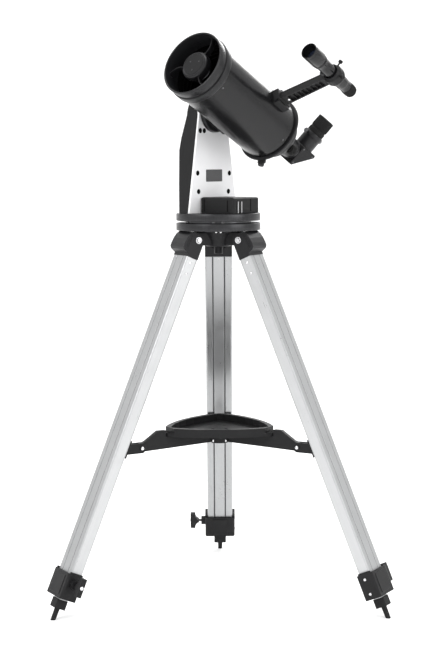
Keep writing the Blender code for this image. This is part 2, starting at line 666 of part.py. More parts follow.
def arm_core_shape():
    front = prism(arm_outline(0), CORE_FACE - 0.06, CORE_FACE, "Y")
    body = combined(front, prism(arm_depth_profile(0), -0.1, 0.1, "X"), "INTERSECT")
    cavity = prism(arm_outline(ARM_WALL), CORE_FACE - 0.0145, CORE_FACE + 0.01, "Y")
    deep = block((-0.036, CORE_FACE - 0.0200, ARM_FOOT + 0.014), (0.036, CORE_FACE, PIVOT_HEIGHT - 0.030))
    return less(body, cavity, deep)


def arm_back_cover_shape():
    front = prism(arm_outline(0.0015), CORE_FACE - 0.07, CORE_FACE, "Y")
    return combined(front, prism(arm_depth_profile(GAP, BACK_COVER_THICK), -0.1, 0.1, "X"), "INTERSECT")


def arm_front_cover_shape():
    panel = prism(arm_outline(0), PANEL_FACE - PANEL_THICK, PANEL_FACE, "Y")
    hole = rod(SHAFT_RADIUS + SLIDE_GAP, -0.1, 0.1, SMALL_ROUND, "Y")
    return less(panel, moved(hole, (0, 0, PIVOT_HEIGHT)))


def base_box_shape():
    top = PLATE_TOP + BOX_HEIGHT
    low = PLATE_TOP + GAP
    wall = BOX_WALL
    shell = prism(rounded((BOX_REAR, BOX_NEAR), (BOX_FRONT, BOX_FAR), 0.006), low, top)
    hollow = prism(rounded((BOX_REAR + wall, BOX_NEAR + wall), (BOX_FRONT - wall, BOX_FAR - wall), 0.004),
                   low - 0.01, top - wall - 0.002)
    across = prism(shoulder_outline(BOX_NEAR, BOX_FAR, top), BOX_REAR - 0.01, BOX_FRONT + 0.01, "X")
    along = prism(shoulder_outline(BOX_REAR, BOX_FRONT, top), BOX_NEAR - 0.01, BOX_FAR + 0.01, "Y")
    shell = combined(combined(shell, across, "INTERSECT"), along, "INTERSECT")
    return less(shell, hollow)


def shoulder_outline(near, far, top):
    """View of the base box from one side with its two upper ends rounded."""
    radius = BOX_SHOULDER
    spare = 0.0005
    bottom = PLATE_TOP - 0.01
    right = arc((far + spare - radius, top + spare - radius), radius, 0, pi / 2, 4)
    left = arc((near - spare + radius, top + spare - radius), radius, pi / 2, pi, 4)
    return [(near - spare, bottom), (far + spare, bottom)] + right + left


def azimuth_plate_shape():
    bore = SPINDLE_RADIUS + SLIDE_GAP
    rim = disc_profile(PLATE_BOTTOM, UPPER_DISC_THICK, 0.0015)
    return turned([(bore, PLATE_BOTTOM)] + rim + [(bore, PLATE_TOP)], BIG_ROUND)


def altitude_gear_shape():
    """Toothed wheel on the altitude shaft; origin on the altitude axis."""
    outline = []
    tooth = 2 * pi / GEAR_TEETH
    for number in range(GEAR_TEETH):
        start = number * tooth
        outline += arc((0, 0), GEAR_RADIUS - 0.0016, start, start + tooth * 0.35, 1)
        outline += arc((0, 0), GEAR_RADIUS, start + tooth * 0.5, start + tooth * 0.85, 1)
    back = CORE_FACE - 0.0125
    wheel = prism(outline, back, back + GEAR_THICK, "Y")
    shaft = rod(SHAFT_RADIUS, back - 0.0015, PANEL_FACE + SLIDE_GAP / 2, SMALL_ROUND, "Y")
    return joined(wheel, shaft)


def build_mount(azimuth, finishes):
    place("azimuth_plate", azimuth_plate_shape(), finishes["satin_metal"], azimuth)
    place("base_box", base_box_shape(), finishes["plastic"], azimuth)
    motor_low = PLATE_TOP + GAP
    motor = rod(0.013, motor_low, motor_low + 0.026, SMALL_ROUND)
    place("azimuth_motor", motor, finishes["steel"], azimuth, (0.004, 0.052, 0))
    place("arm_core", arm_core_shape(), finishes["plastic"], azimuth)
    place("arm_front_cover", arm_front_cover_shape(), finishes["white"], azimuth)
    place("arm_back_cover", arm_back_cover_shape(), finishes["white"], azimuth)
    worm_height = PIVOT_HEIGHT - GEAR_RADIUS - MOTOR_RADIUS - 0.001
    worm = rod(MOTOR_RADIUS, -MOTOR_LENGTH / 2, MOTOR_LENGTH / 2, SMALL_ROUND, "X")
    place("altitude_motor", worm, finishes["steel"], azimuth, (0, CORE_FACE - 0.0095, worm_height))
    board_back = CORE_FACE - 0.018
    board = block((-0.034, board_back, ARM_FOOT + 0.025), (0.034, board_back + 0.0016, ARM_FOOT + 0.110))
    place("control_board", board, finishes["board"], azimuth)


# ---------------------------------------------------------------- optical tube
# The tube's frame has its origin on the altitude axis, +X towards the open end.
def on_axis(shape):
    return moved(shape, (0, AXIS_OFFSET, 0))


def front_ring_shape():
    inner = TUBE_RADIUS - TUBE_WALL - GAP
    return on_axis(turned([
        (inner, TUBE_FRONT - 0.012), (inner, TUBE_FRONT + GAP), (TUBE_RADIUS + GAP, TUBE_FRONT + GAP),
        (TUBE_RADIUS + GAP, SKIRT_END), (SKIRT_RADIUS - 0.0008, SKIRT_END),
        (SKIRT_RADIUS, SKIRT_END + 0.0008), (SKIRT_RADIUS, TUBE_FRONT + 0.0028),
        (LIP_RADIUS, TUBE_FRONT + 0.0040), (LIP_RADIUS - 0.0014, TUBE_FRONT + 0.0046),
        (LIP_RADIUS - 0.0014, TUBE_FRONT + 0.0062), (LIP_RADIUS - 0.0006, TUBE_FRONT + 0.0068),
        (LIP_RADIUS, LIP_FRONT - 0.0016), (LIP_RADIUS - 0.0008, LIP_FRONT),
        (LIP_RADIUS - 0.0026, LIP_FRONT), (LIP_RADIUS - 0.0036, LIP_FRONT - 0.002),
        (LIP_RADIUS - 0.0042, TUBE_FRONT), (inner - 0.0022, TUBE_FRONT - 0.012)], BIG_ROUND, "X"))


def spider_shape():
    """Secondary housing on three bowed vanes; the vanes reach to the front ring."""
    front = HUB_FACE
    rear = HUB_FACE - SECONDARY_LENGTH
    housing = turned([(0, rear + 0.006), (SECONDARY_RADIUS - 0.005, rear + 0.006),
                      (SECONDARY_RADIUS - 0.005, rear), (SECONDARY_RADIUS - 0.002, rear),
                      (SECONDARY_RADIUS, rear + 0.004), (SECONDARY_RADIUS, front - 0.0022),
                      (SECONDARY_RADIUS - 0.0016, front), (SECONDARY_RADIUS - 0.0042, front - 0.0012),
                      (0, front - 0.0012)], ROUND, "X")
    shape = housing
    vane_front = front - 0.006
    inner = SECONDARY_RADIUS - 0.0015
    outer = LIP_RADIUS - 0.0042 - 2 * GAP
    for number in range(3):
        turn = Matrix.Rotation(-(VANE_TURN + number * 2 * pi / 3), 3, "X")
        shape = joined(shape, moved(vane_shape(inner, outer, vane_front), (0, 0, 0), turn))
    return on_axis(shape)


def vane_shape(inner, outer, front):
    """One bowed vane above the axis, built in (y, z) and pulled along X."""
    bow = 0.0062
    steps = 8
    spine = []
    for step in range(steps + 1):
        share = step / steps
        spine.append((0.0045 + bow * 4 * share * (1 - share) - 0.0045 * share, inner + (outer - inner) * share))
    near = [(y - VANE_THICK / 2, z) for y, z in spine]
    far = [(y + VANE_THICK / 2, z) for y, z in spine]
    near[-1] = (near[-1][0], sqrt(outer ** 2 - near[-1][0] ** 2))
    far[-1] = (far[-1][0], sqrt(outer ** 2 - far[-1][0] ** 2))
    return prism(near + far[::-1], front - VANE_DEPTH, front, "X")


def rear_cell_shape():
    """Hollow drum with a flange, a spigot inside the tube and a neck around the baffle."""
    face = TUBE_REAR - GAP
    flange_back = face - FLANGE_THICK
    bore = BAFFLE_RADIUS + GAP
    spigot = TUBE_RADIUS - TUBE_WALL - GAP
    floor = CELL_END + 0.006
    shell = turned([
        (bore, CELL_END), (CELL_RADIUS - 0.007, CELL_END), (CELL_RADIUS - 0.004, CELL_END + 0.003),
        (CELL_RADIUS, flange_back), (FLANGE_RADIUS - 0.001, flange_back),
        (FLANGE_RADIUS, flange_back + 0.001), (FLANGE_RADIUS, face - 0.001), (FLANGE_RADIUS - 0.001, face),
        (spigot, face), (spigot, face + 0.008), (spigot - 0.0022, face + 0.008),
        (CELL_RADIUS - 0.003, flange_back), (CELL_RADIUS - 0.007, floor), (bore + 0.004, floor),
        (bore + 0.004, face), (bore, face)], BIG_ROUND, "X")
    lug = block((flange_back + 0.0005, -LUG_WIDTH / 2, -FLANGE_RADIUS - LUG_HEIGHT),
                (face - 0.0005, LUG_WIDTH / 2, -FLANGE_RADIUS + 0.003))
    moved(lug, (0, 0, 0), Matrix.Rotation(radians(5), 3, "X"))
    stem_hole = moved(rod(0.0036, CELL_END - 0.01, floor + 0.01, 16, "X"), (0, 0, FOCUS_PLACE))
    moved(stem_hole, (0, 0, 0), Matrix.Rotation(-FOCUS_ANGLE, 3, "X"))
    return on_axis(less(joined(shell, lug), stem_hole))


def focus_knob_shape():
    """Ribbed knob and its stem; origin on the knob's own axis."""
    start = CELL_END - SLIDE_GAP
    end = start - FOCUS_LENGTH
    outline = []
    ribs = 18
    for number in range(ribs):
        turn = number * 2 * pi / ribs
        outline += arc((0, 0), FOCUS_RADIUS, turn, turn + pi / ribs, 1)
        outline += arc((0, 0), FOCUS_RADIUS - 0.0007, turn + 1.25 * pi / ribs, turn + 1.75 * pi / ribs, 1)
    grip = prism(outline, end, start - 0.003, "X")
    collar = rod(FOCUS_RADIUS - 0.0025, start - 0.005, start, SMALL_ROUND, "X")
    stem = rod(0.0030, start - 0.004, TUBE_REAR - FLANGE_THICK + 0.001, 16, "X")
    return joined(grip, collar, stem)


def primary_mirror_shape():
    back = TUBE_REAR + 0.014
    sag = 0.0025
    profile = [(BAFFLE_RADIUS + SLIDE_GAP, back), (MIRROR_RADIUS, back), (MIRROR_RADIUS, back + MIRROR_THICK)]
    for step in (0.75, 0.5, 0.3):
        profile.append((MIRROR_RADIUS * step, back + MIRROR_THICK - sag * (1 - step ** 2)))
    return on_axis(turned(profile, ROUND, "X"))


def baffle_shape():
    """Light baffle tube through the mirror, held in the rear cell, with the light path open."""
    start = CELL_END + 0.002
    wall = 0.0012
    end = start + BAFFLE_LENGTH
    return on_axis(ring(BAFFLE_RADIUS, BAFFLE_RADIUS - wall, start, end, 24, "X"))


def visual_back_shape():
    start = CELL_END - GAP
    inner = BARREL_RADIUS + 0.0004
    return on_axis(turned([(inner, BACK_END), (BACK_RADIUS - 0.003, BACK_END), (BACK_RADIUS - 0.003, BACK_END + 0.003),
                           (BACK_RADIUS, BACK_END + 0.004), (BACK_RADIUS, start), (inner, start)], ROUND, "X"))


def dovetail_bar_shape():
    outer = BAR_WIDTH / 2
    inner = outer - 0.0045
    face = BAR_FACE
    outline = [(face, -outer), (face + BAR_THICK * 0.55, -inner), (face + BAR_THICK, -inner),
               (face + BAR_THICK, inner), (face + BAR_THICK * 0.55, inner), (face, outer)]
    return prism(outline, BAR_REAR, BAR_FRONT, "X")


def saddle_shape():
    half = SADDLE_LENGTH / 2
    outer = BAR_WIDTH / 2 + 0.0006
    low = HUB_OUTER + GAP
    plate = block((-half, low, -outer - JAW_WIDTH), (half, SADDLE_FACE, outer + JAW_WIDTH))
    shape = plate
    for side in (-1, 1):
        jaw = [(SADDLE_FACE - 0.001, side * outer), (SADDLE_FACE + 0.0040, side * (outer - 0.0012)),
               (SADDLE_FACE + 0.0040, side * (outer + JAW_WIDTH)),
               (SADDLE_FACE - 0.001, side * (outer + JAW_WIDTH))]
        shape = joined(shape, prism(jaw, -half, half, "X"))
    return shape


def altitude_hub_shape():
    low = PANEL_FACE + SLIDE_GAP
    return turned([(0, low), (ALT_HUB_RADIUS - 0.001, low), (ALT_HUB_RADIUS, low + 0.001),
                   (ALT_HUB_RADIUS, HUB_OUTER - 0.0015), (ALT_HUB_RADIUS - 0.0015, HUB_OUTER),
                   (0, HUB_OUTER)], ROUND, "Y")


def build_tube(altitude, finishes):
    place("altitude_gear", altitude_gear_shape(), finishes["brass"], altitude)
    place("altitude_hub", altitude_hub_shape(), finishes["plastic"], altitude)
    place("saddle_clamp", saddle_shape(), finishes["plastic"], altitude)
    place("dovetail_bar", dovetail_bar_shape(), finishes["satin_metal"], altitude)
    barrel = ring(TUBE_RADIUS, TUBE_RADIUS - TUBE_WALL, TUBE_REAR, TUBE_FRONT, BIG_ROUND, "X")
    place("optical_tube", on_axis(barrel), finishes["painted"], altitude)
    place("front_ring", front_ring_shape(), finishes["painted"], altitude)
    place("spider", spider_shape(), finishes["plastic"], altitude)
    rear = HUB_FACE - SECONDARY_LENGTH
    secondary = rod(SECONDARY_RADIUS - 0.006, rear + 0.0005, rear + 0.006 - GAP, ROUND, "X")
    place("secondary_mirror", on_axis(secondary), finishes["mirror"], altitude)
    place("primary_mirror", primary_mirror_shape(), finishes["mirror"], altitude)
    place("baffle_tube", baffle_shape(), finishes["plastic"], altitude)
    place("rear_cell", rear_cell_shape(), finishes["plastic"], altitude)
    knob_offset = Vector((0, AXIS_OFFSET + FOCUS_PLACE * sin(FOCUS_ANGLE), FOCUS_PLACE * cos(FOCUS_ANGLE)))
    place("focus_knob", focus_knob_shape(), finishes["rubber"], altitude, knob_offset)
    place("visual_back", visual_back_shape(), finishes["plastic"], altitude)


# ---------------------------------------------------------------- star diagonal and eyepiece
# Built with the eyepiece pointing up (+Z) from the fold of the light path, then turned.
def diagonal_shape():
    """Housing with a slanting back, nose barrel, collar and eyepiece holder."""
    fold = FOLD_PLACE
    half = DIAGONAL_HALF
    front = fold + half
    rear = fold - half - 0.003
    low = -half - 0.004
    side = [(front, low), (front, half), (rear + 0.0015, half), (rear, half - 0.0015), (rear, half - 0.0060),
            (front - 0.0060, low)]
    body = prism(side, -half - 0.001, half + 0.001, "Y")
    collar = rod(HOLDER_RADIUS + COLLAR_STEP, front - 0.002, BACK_END - SLIDE_GAP, 24, "X")
    nose = rod(BARREL_RADIUS, front - 0.002, BACK_END + BACK_LENGTH - 0.002, 24, "X")
    rim = half + HOLDER_LENGTH
    holder = turned([(0, half - 0.002), (HOLDER_RADIUS, half - 0.002), (HOLDER_RADIUS, rim - 0.010),
                     (HOLDER_RADIUS + COLLAR_STEP, rim - 0.0095), (HOLDER_RADIUS + COLLAR_STEP, rim),
                     (0, rim)], 24)
    shape = joined(body, collar, nose, moved(holder, (fold, 0, 0)))
    light_in = rod(BARREL_RADIUS - 0.0018, fold - 0.002, BACK_END + BACK_LENGTH, 24, "X")
    light_out = moved(rod(BARREL_RADIUS + 0.0004, 0, rim + 0.01, 32), (fold, 0, 0))
    return less(shape, light_in, light_out, tilted_slab(GAP))


def tilted_slab(margin):
    """Plate at 45 degrees across the fold of the light path."""
    half = 0.0125 + margin
    slab = block((-half, -half, -0.0015 - margin), (half, half, margin))
    return moved(slab, (FOLD_PLACE, 0, 0), Matrix.Rotation(radians(45), 3, "Y"))


def eyepiece_shape():
    seat = DIAGONAL_HALF + HOLDER_LENGTH
    body = turned([(0, seat - EYEPIECE_BARREL), (BARREL_RADIUS, seat - EYEPIECE_BARREL),
                   (BARREL_RADIUS, seat + GAP), (EYEPIECE_RADIUS, seat + GAP),
                   (EYEPIECE_RADIUS, seat + 0.009), (EYEPIECE_RADIUS - 0.0012, seat + 0.0096),
                   (EYEPIECE_RADIUS - 0.0012, seat + 0.0126), (EYEPIECE_RADIUS, seat + 0.0132),
                   (EYEPIECE_RADIUS, seat + EYEPIECE_LENGTH), (EYEPIECE_RADIUS - 0.004, seat + EYEPIECE_LENGTH),
                   (EYEPIECE_RADIUS - 0.006, seat + EYEPIECE_LENGTH - 0.005),
                   (0, seat + EYEPIECE_LENGTH - 0.005)], 24)
    return moved(body, (FOLD_PLACE, 0, 0))


def build_diagonal(altitude, finishes):
    frame = make_frame("diagonal_axis", altitude, (0, AXIS_OFFSET, 0), (-DIAGONAL_TURN, 0, 0))
    place("diagonal_body", diagonal_shape(), finishes["plastic"], frame)
    place("diagonal_mirror", tilted_slab(0), finishes["mirror"], frame)
    place("eyepiece", eyepiece_shape(), finishes["plastic"], frame)


# ---------------------------------------------------------------- finder
# Built above the tube (+Z) in the tube's frame, then turned.
def finder_shoe_shape():
    half = SHOE_LENGTH / 2
    base = sqrt(TUBE_RADIUS ** 2 - (SHOE_WIDTH / 2) ** 2)
    body = block((-half, -SHOE_WIDTH / 2, base - 0.002), (half, SHOE_WIDTH / 2, TUBE_RADIUS + SHOE_HEIGHT))
    body = less(body, rod(TUBE_RADIUS + GAP, -0.1, 0.1, 64, "X"))
    floor = TUBE_RADIUS + 0.003
    top = TUBE_RADIUS + SHOE_HEIGHT
    slot = [(-0.0125, floor), (0.0125, floor), (0.0090, top + 0.001), (-0.0090, top + 0.001)]
    return less(body, prism(slot, -0.1, 0.1, "X"))


def finder_bracket_shape():
    """Dovetail foot, stalk and finder ring in one casting."""
    floor = TUBE_RADIUS + 0.003 + SLIDE_GAP
    top = TUBE_RADIUS + SHOE_HEIGHT
    slot_lean = 0.0035 / (SHOE_HEIGHT - 0.002)
    foot_top = top + 0.002
    low_half = 0.0125 - SLIDE_GAP - 0.0003
    high_half = low_half - slot_lean * (foot_top - floor)
    foot = prism([(-low_half, floor), (low_half, floor), (high_half, foot_top), (-high_half, foot_top)],
                 -0.020, 0.020, "X")
    end = FINDER_REACH - RING_RADIUS + 0.004
    half = STALK_LENGTH / 2
    outline = [(-half, foot_top - 0.001), (half, foot_top - 0.001), (half - 0.002, end), (-half + 0.002, end)]
    stalk = prism(outline, -STALK_THICK / 2, STALK_THICK / 2, "Y")
    web = 0.0022
    waste = [(-half + 0.0035, top + 0.014), (half - 0.0035, top + 0.014), (half - 0.0052, end - 0.009),
             (-half + 0.0052, end - 0.009)]
    shape = joined(foot, stalk)
    for side in (-1, 1):
        near, far = sorted((side * web, side * STALK_THICK))
        shape = less(shape, prism(waste, near, far, "Y"))
    half_ring = RING_LENGTH / 2
    band = turned([(0, -half_ring), (RING_RADIUS - 0.003, -half_ring), (RING_RADIUS, -half_ring / 2),
                   (RING_RADIUS, half_ring / 2), (RING_RADIUS - 0.003, half_ring), (0, half_ring)], 24, "X")
    bore = rod(FINDER_RADIUS + 0.0012, -0.1, 0.1, 24, "X")
    for piece in (band, bore):
        moved(piece, (0, 0, FINDER_REACH))
    return less(joined(shape, band), bore)


def finder_tube_shape():
    """Finder barrel, open at both ends; origin in the middle of its ring."""
    inner = FINDER_RADIUS - FINDER_WALL
    return turned([
        (inner, FINDER_REAR), (FINDER_RADIUS - 0.001, FINDER_REAR), (FINDER_RADIUS - 0.001, FINDER_REAR + 0.014),
        (FINDER_RADIUS, FINDER_REAR + 0.016), (FINDER_RADIUS, FINDER_FRONT - OBJECTIVE_LENGTH - 0.006),
        (FINDER_RADIUS + 0.0018, FINDER_FRONT - OBJECTIVE_LENGTH - 0.005),
        (FINDER_RADIUS + 0.0018, FINDER_FRONT - OBJECTIVE_LENGTH),
        (OBJECTIVE_RADIUS, FINDER_FRONT - OBJECTIVE_LENGTH + 0.001), (OBJECTIVE_RADIUS, FINDER_FRONT),
        (OBJECTIVE_RADIUS - FINDER_WALL, FINDER_FRONT), (OBJECTIVE_RADIUS - FINDER_WALL, FINDER_FRONT - 0.026),
        (inner, FINDER_FRONT - OBJECTIVE_LENGTH)], 24, "X")


def finder_eyepiece_shape():
    start = FINDER_REAR - GAP
    end = start - OCULAR_LENGTH
    inner = FINDER_RADIUS - FINDER_WALL - GAP
    return turned([(0, start + 0.008), (inner, start + 0.008), (inner, start),
                   (OCULAR_RADIUS, start), (OCULAR_RADIUS + 0.0010, start - 0.006), (OCULAR_RADIUS + 0.0010, end + 0.005),
                   (OCULAR_RADIUS - 0.0015, end), (OCULAR_RADIUS - 0.005, end), (OCULAR_RADIUS - 0.006, end + 0.004),
                   (0, end + 0.004)], 24, "X")


def build_finder(altitude, finishes):
    frame = make_frame("finder_mount", altitude, (FINDER_PLACE, AXIS_OFFSET, 0), (-FINDER_TURN, 0, 0))
    place("finder_shoe", finder_shoe_shape(), finishes["plastic"], frame)
    place("finder_bracket", finder_bracket_shape(), finishes["plastic"], frame)
    centre = (0, 0, FINDER_REACH)
    place("finder_tube", finder_tube_shape(), finishes["painted"], frame, centre)
    place("finder_eyepiece", finder_eyepiece_shape(), finishes["rubber"], frame, centre)


# ---------------------------------------------------------------- whole model
def make_finishes():
    return {
        "plastic": make_finish("black_plastic", BLACK, 0.45, 0.0),
        "painted": make_finish("charcoal_paint", CHARCOAL, 0.32, 0.2),
        "white": make_finish("white_plastic", (0.84, 0.84, 0.85), 0.4, 0.0),
        "aluminium": make_finish("brushed_aluminium", (0.78, 0.79, 0.80), 0.35, 0.9),
        "satin_metal": make_finish("dark_satin_metal", (0.06, 0.06, 0.062), 0.35, 0.8),
        "steel": make_finish("plated_steel", (0.70, 0.70, 0.71), 0.25, 1.0),
        "brass": make_finish("brass", (0.65, 0.50, 0.22), 0.35, 1.0),
        "rubber": make_finish("black_rubber", (0.015, 0.015, 0.015), 0.7, 0.0),
        "mirror": make_finish("coated_glass", (0.85, 0.86, 0.88), 0.05, 1.0),
        "board": make_finish("circuit_board", (0.02, 0.16, 0.07), 0.5, 0.0),
    }


def build():
    clear_scene()
    finishes = make_finishes()
    for number, angle in enumerate(LEG_ANGLES, 1):
        build_leg(number, angle, finishes)
    build_spreader(finishes)
    build_head(finishes)
    azimuth = make_frame("azimuth_axis", None, (0, 0, 0), (0, 0, MOUNT_TURN))
    build_mount(azimuth, finishes)
    altitude = make_frame("altitude_axis", azimuth, (0, 0, PIVOT_HEIGHT), (0, -ELEVATION, 0))
    build_tube(altitude, finishes)
    build_diagonal(altitude, finishes)
    build_finder(altitude, finishes)
    bpy.context.view_layer.update()


build()
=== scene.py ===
"""Studio scene for the telescope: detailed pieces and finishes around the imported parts."""
from math import cos, pi, radians, sin

import bmesh
import bpy
from mathutils import Matrix, Vector


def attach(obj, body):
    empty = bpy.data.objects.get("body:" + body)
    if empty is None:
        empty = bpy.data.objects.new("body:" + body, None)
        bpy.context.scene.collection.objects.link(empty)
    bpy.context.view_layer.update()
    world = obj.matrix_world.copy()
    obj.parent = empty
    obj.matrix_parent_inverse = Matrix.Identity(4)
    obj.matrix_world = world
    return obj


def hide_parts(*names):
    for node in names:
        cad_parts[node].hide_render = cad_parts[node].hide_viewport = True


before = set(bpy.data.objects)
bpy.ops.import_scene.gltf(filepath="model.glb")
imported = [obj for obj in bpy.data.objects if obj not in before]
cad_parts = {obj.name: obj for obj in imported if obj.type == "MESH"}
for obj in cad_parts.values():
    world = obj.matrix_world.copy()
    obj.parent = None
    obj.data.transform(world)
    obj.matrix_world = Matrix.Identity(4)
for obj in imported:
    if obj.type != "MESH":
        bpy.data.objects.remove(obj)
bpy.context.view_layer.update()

# facets around large, middle and small round pieces
FINE = 112
MID = 56
LOW = 28

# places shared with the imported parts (metres and degrees)
MOUNT_TURN = 231                # heading of the tube about the azimuth axis
ELEVATION = 27                  # tube above the horizon
ALTITUDE_HEIGHT = 0.970         # altitude axis above the floor
AXIS_OFFSET = 0.074             # mount's middle plane to the optical axis
DIAGONAL_TURN = 32.2            # tube's top to the eyepiece, towards the arm-free side
FINDER_TURN = 65.4              # tube's top to the finder, towards the arm-free side
FINDER_PLACE = -0.014           # finder foot along the tube
FINDER_REACH = 0.188            # optical axis to the finder's own axis
HINGE_RADIUS = 0.060            # azimuth axis to a leg's hinge bolt
HINGE_HEIGHT = 0.719
LEG_TILT = 23.4                 # leg from the vertical
VANE_TURN = 17                  # tube's top to the first vane
KNOB_DROP = 0.7049              # hinge bolt to a clamp knob, down the leg
LUG_TURN = 175                  # tube's top to the lug on the rear flange
DISC_RADIUS = 0.0835
TUBE_RUN = (-0.6960, -0.0380)   # visible length of a leg tube, in the leg's frame

SMOOTH_ANGLE = 32               # edges flatter than this are shaded smooth on the added pieces
PACKED_SMOOTH_ANGLE = 30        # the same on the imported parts

# camera, found from the photo's three feet, discs and upright axis (metres, degrees, millimetres)
CAMERA_PLACE = (0, -3.14, 0.875)
CAMERA_TILT = (84.04, 0.33, 0.035)
CAMERA_LENS = 87.5
CAMERA_SENSOR = 36

# name, place, height aimed at on the azimuth axis, size and power of each lamp
LAMPS = (("key", (-2.2, -2.4, 2.6), 0.75, 1.8, 62), ("fill", (2.6, -2.0, 1.7), 0.7, 2.0, 44),
         ("top", (0.1, 0.2, 3.6), 0.5, 2.4, 60), ("rim", (1.2, 2.4, 2.4), 0.8, 1.2, 30))
SKY_STRENGTH = 1.05
FLOOR_BEND = 1.6                # radius of the floor's curve up into the wall
FLOOR_BACK = 3.2                # where that curve starts
FLOOR_FRONT = -6.0
WALL_TOP = 7.0
HALF_FLOOR_WIDTH = 7.0


# ------------------------------------------------------------------ frames of the object
def spin_z(turn):
    return Matrix.Rotation(turn, 4, "Z")


def shift(x, y, z):
    return Matrix.Translation((x, y, z))


def about_x(angle):
    """Turn from the tube's top towards its arm-free side."""
    return Matrix.Rotation(-radians(angle), 4, "X")


MOUNT = spin_z(radians(MOUNT_TURN))
TUBE = MOUNT @ shift(0, 0, ALTITUDE_HEIGHT) @ Matrix.Rotation(-radians(ELEVATION), 4, "Y")
OPTICS = TUBE @ shift(0, AXIS_OFFSET, 0)
DIAGONAL = OPTICS @ about_x(DIAGONAL_TURN)
FINDER_SIDE = TUBE @ shift(FINDER_PLACE, AXIS_OFFSET, 0) @ about_x(FINDER_TURN)
FINDER = FINDER_SIDE @ shift(0, 0, FINDER_REACH)
LUG = OPTICS @ about_x(LUG_TURN) @ shift(-0.0778, 0, 0)
WORLD = Matrix.Identity(4)
LEG_TURNS = {1: radians(90), 2: radians(210), 3: radians(330)}


def leg_frame(number):
    """Origin on the hinge bolt, +X outwards, +Y along the bolt, +Z up the leg."""
    turn = spin_z(LEG_TURNS[number])
    return turn @ shift(HINGE_RADIUS, 0, HINGE_HEIGHT) @ Matrix.Rotation(-radians(LEG_TILT), 4, "Y")


# ------------------------------------------------------------------ finishes
def node(tree, kind, **values):
    made = tree.nodes.new(kind)
    for name, value in values.items():
        if name.startswith("in_"):
            key = name[3:]
            made.inputs[int(key) if key.isdigit() else key].default_value = value
        else:
            setattr(made, name, value)
    return made


def surface(name, colour, rough, metal=0.0, grain=900.0, bump=0.05, vary=0.12, spread=0.08,
            stretch=(1, 1, 1), coat=0.0, edge=0.0006, blotch=26.0, shine=0.5):
    """Principled finish with grain, gentle colour and gloss variation and softened edges."""
    made = bpy.data.materials.new(name)
    made.use_nodes = True
    tree = made.node_tree
    link = tree.links.new
    shader = tree.nodes["Principled BSDF"]
    shader.inputs["Metallic"].default_value = metal
    shader.inputs["Coat Weight"].default_value = coat
    shader.inputs["Coat Roughness"].default_value = 0.15
    shader.inputs["Specular IOR Level"].default_value = shine
    place = node(tree, "ShaderNodeTexCoord")
    mapping = node(tree, "ShaderNodeMapping", in_Scale=stretch)
    link(place.outputs["Object"], mapping.inputs["Vector"])
    wide = node(tree, "ShaderNodeTexNoise", in_Scale=blotch, in_Detail=4.0, in_Roughness=0.6)
    fine = node(tree, "ShaderNodeTexNoise", in_Scale=grain, in_Detail=3.0, in_Roughness=0.55)
    link(place.outputs["Object"], wide.inputs["Vector"])
    link(mapping.outputs["Vector"], fine.inputs["Vector"])
    mixed = node(tree, "ShaderNodeMath", operation="MULTIPLY_ADD", in_1=0.5, in_2=0.0)
    link(fine.outputs["Fac"], mixed.inputs[0])
    half = node(tree, "ShaderNodeMath", operation="MULTIPLY_ADD", in_1=0.5)
    link(wide.outputs["Fac"], half.inputs[0])
    link(mixed.outputs["Value"], half.inputs[2])
    ramp = node(tree, "ShaderNodeValToRGB")
    low = [c * (1 - vary) for c in colour]
    high = [min(1.0, c * (1 + vary)) for c in colour]
    ramp.color_ramp.elements[0].position = 0.32
    ramp.color_ramp.elements[0].color = (*low, 1)
    ramp.color_ramp.elements[1].position = 0.68
    ramp.color_ramp.elements[1].color = (*high, 1)
    link(half.outputs["Value"], ramp.inputs["Fac"])
    link(ramp.outputs["Color"], shader.inputs["Base Color"])
    gloss = node(tree, "ShaderNodeMapRange", in_1=0.3, in_2=0.7, in_3=max(0.02, rough - spread),
                 in_4=min(1.0, rough + spread))
    link(half.outputs["Value"], gloss.inputs[0])
    link(gloss.outputs["Result"], shader.inputs["Roughness"])
    soft = node(tree, "ShaderNodeBevel", samples=4, in_Radius=edge)
    dent = node(tree, "ShaderNodeBump", in_Strength=bump, in_Distance=0.0004)
    link(fine.outputs["Fac"], dent.inputs["Height"])
    link(soft.outputs["Normal"], dent.inputs["Normal"])
    link(dent.outputs["Normal"], shader.inputs["Normal"])
    return made


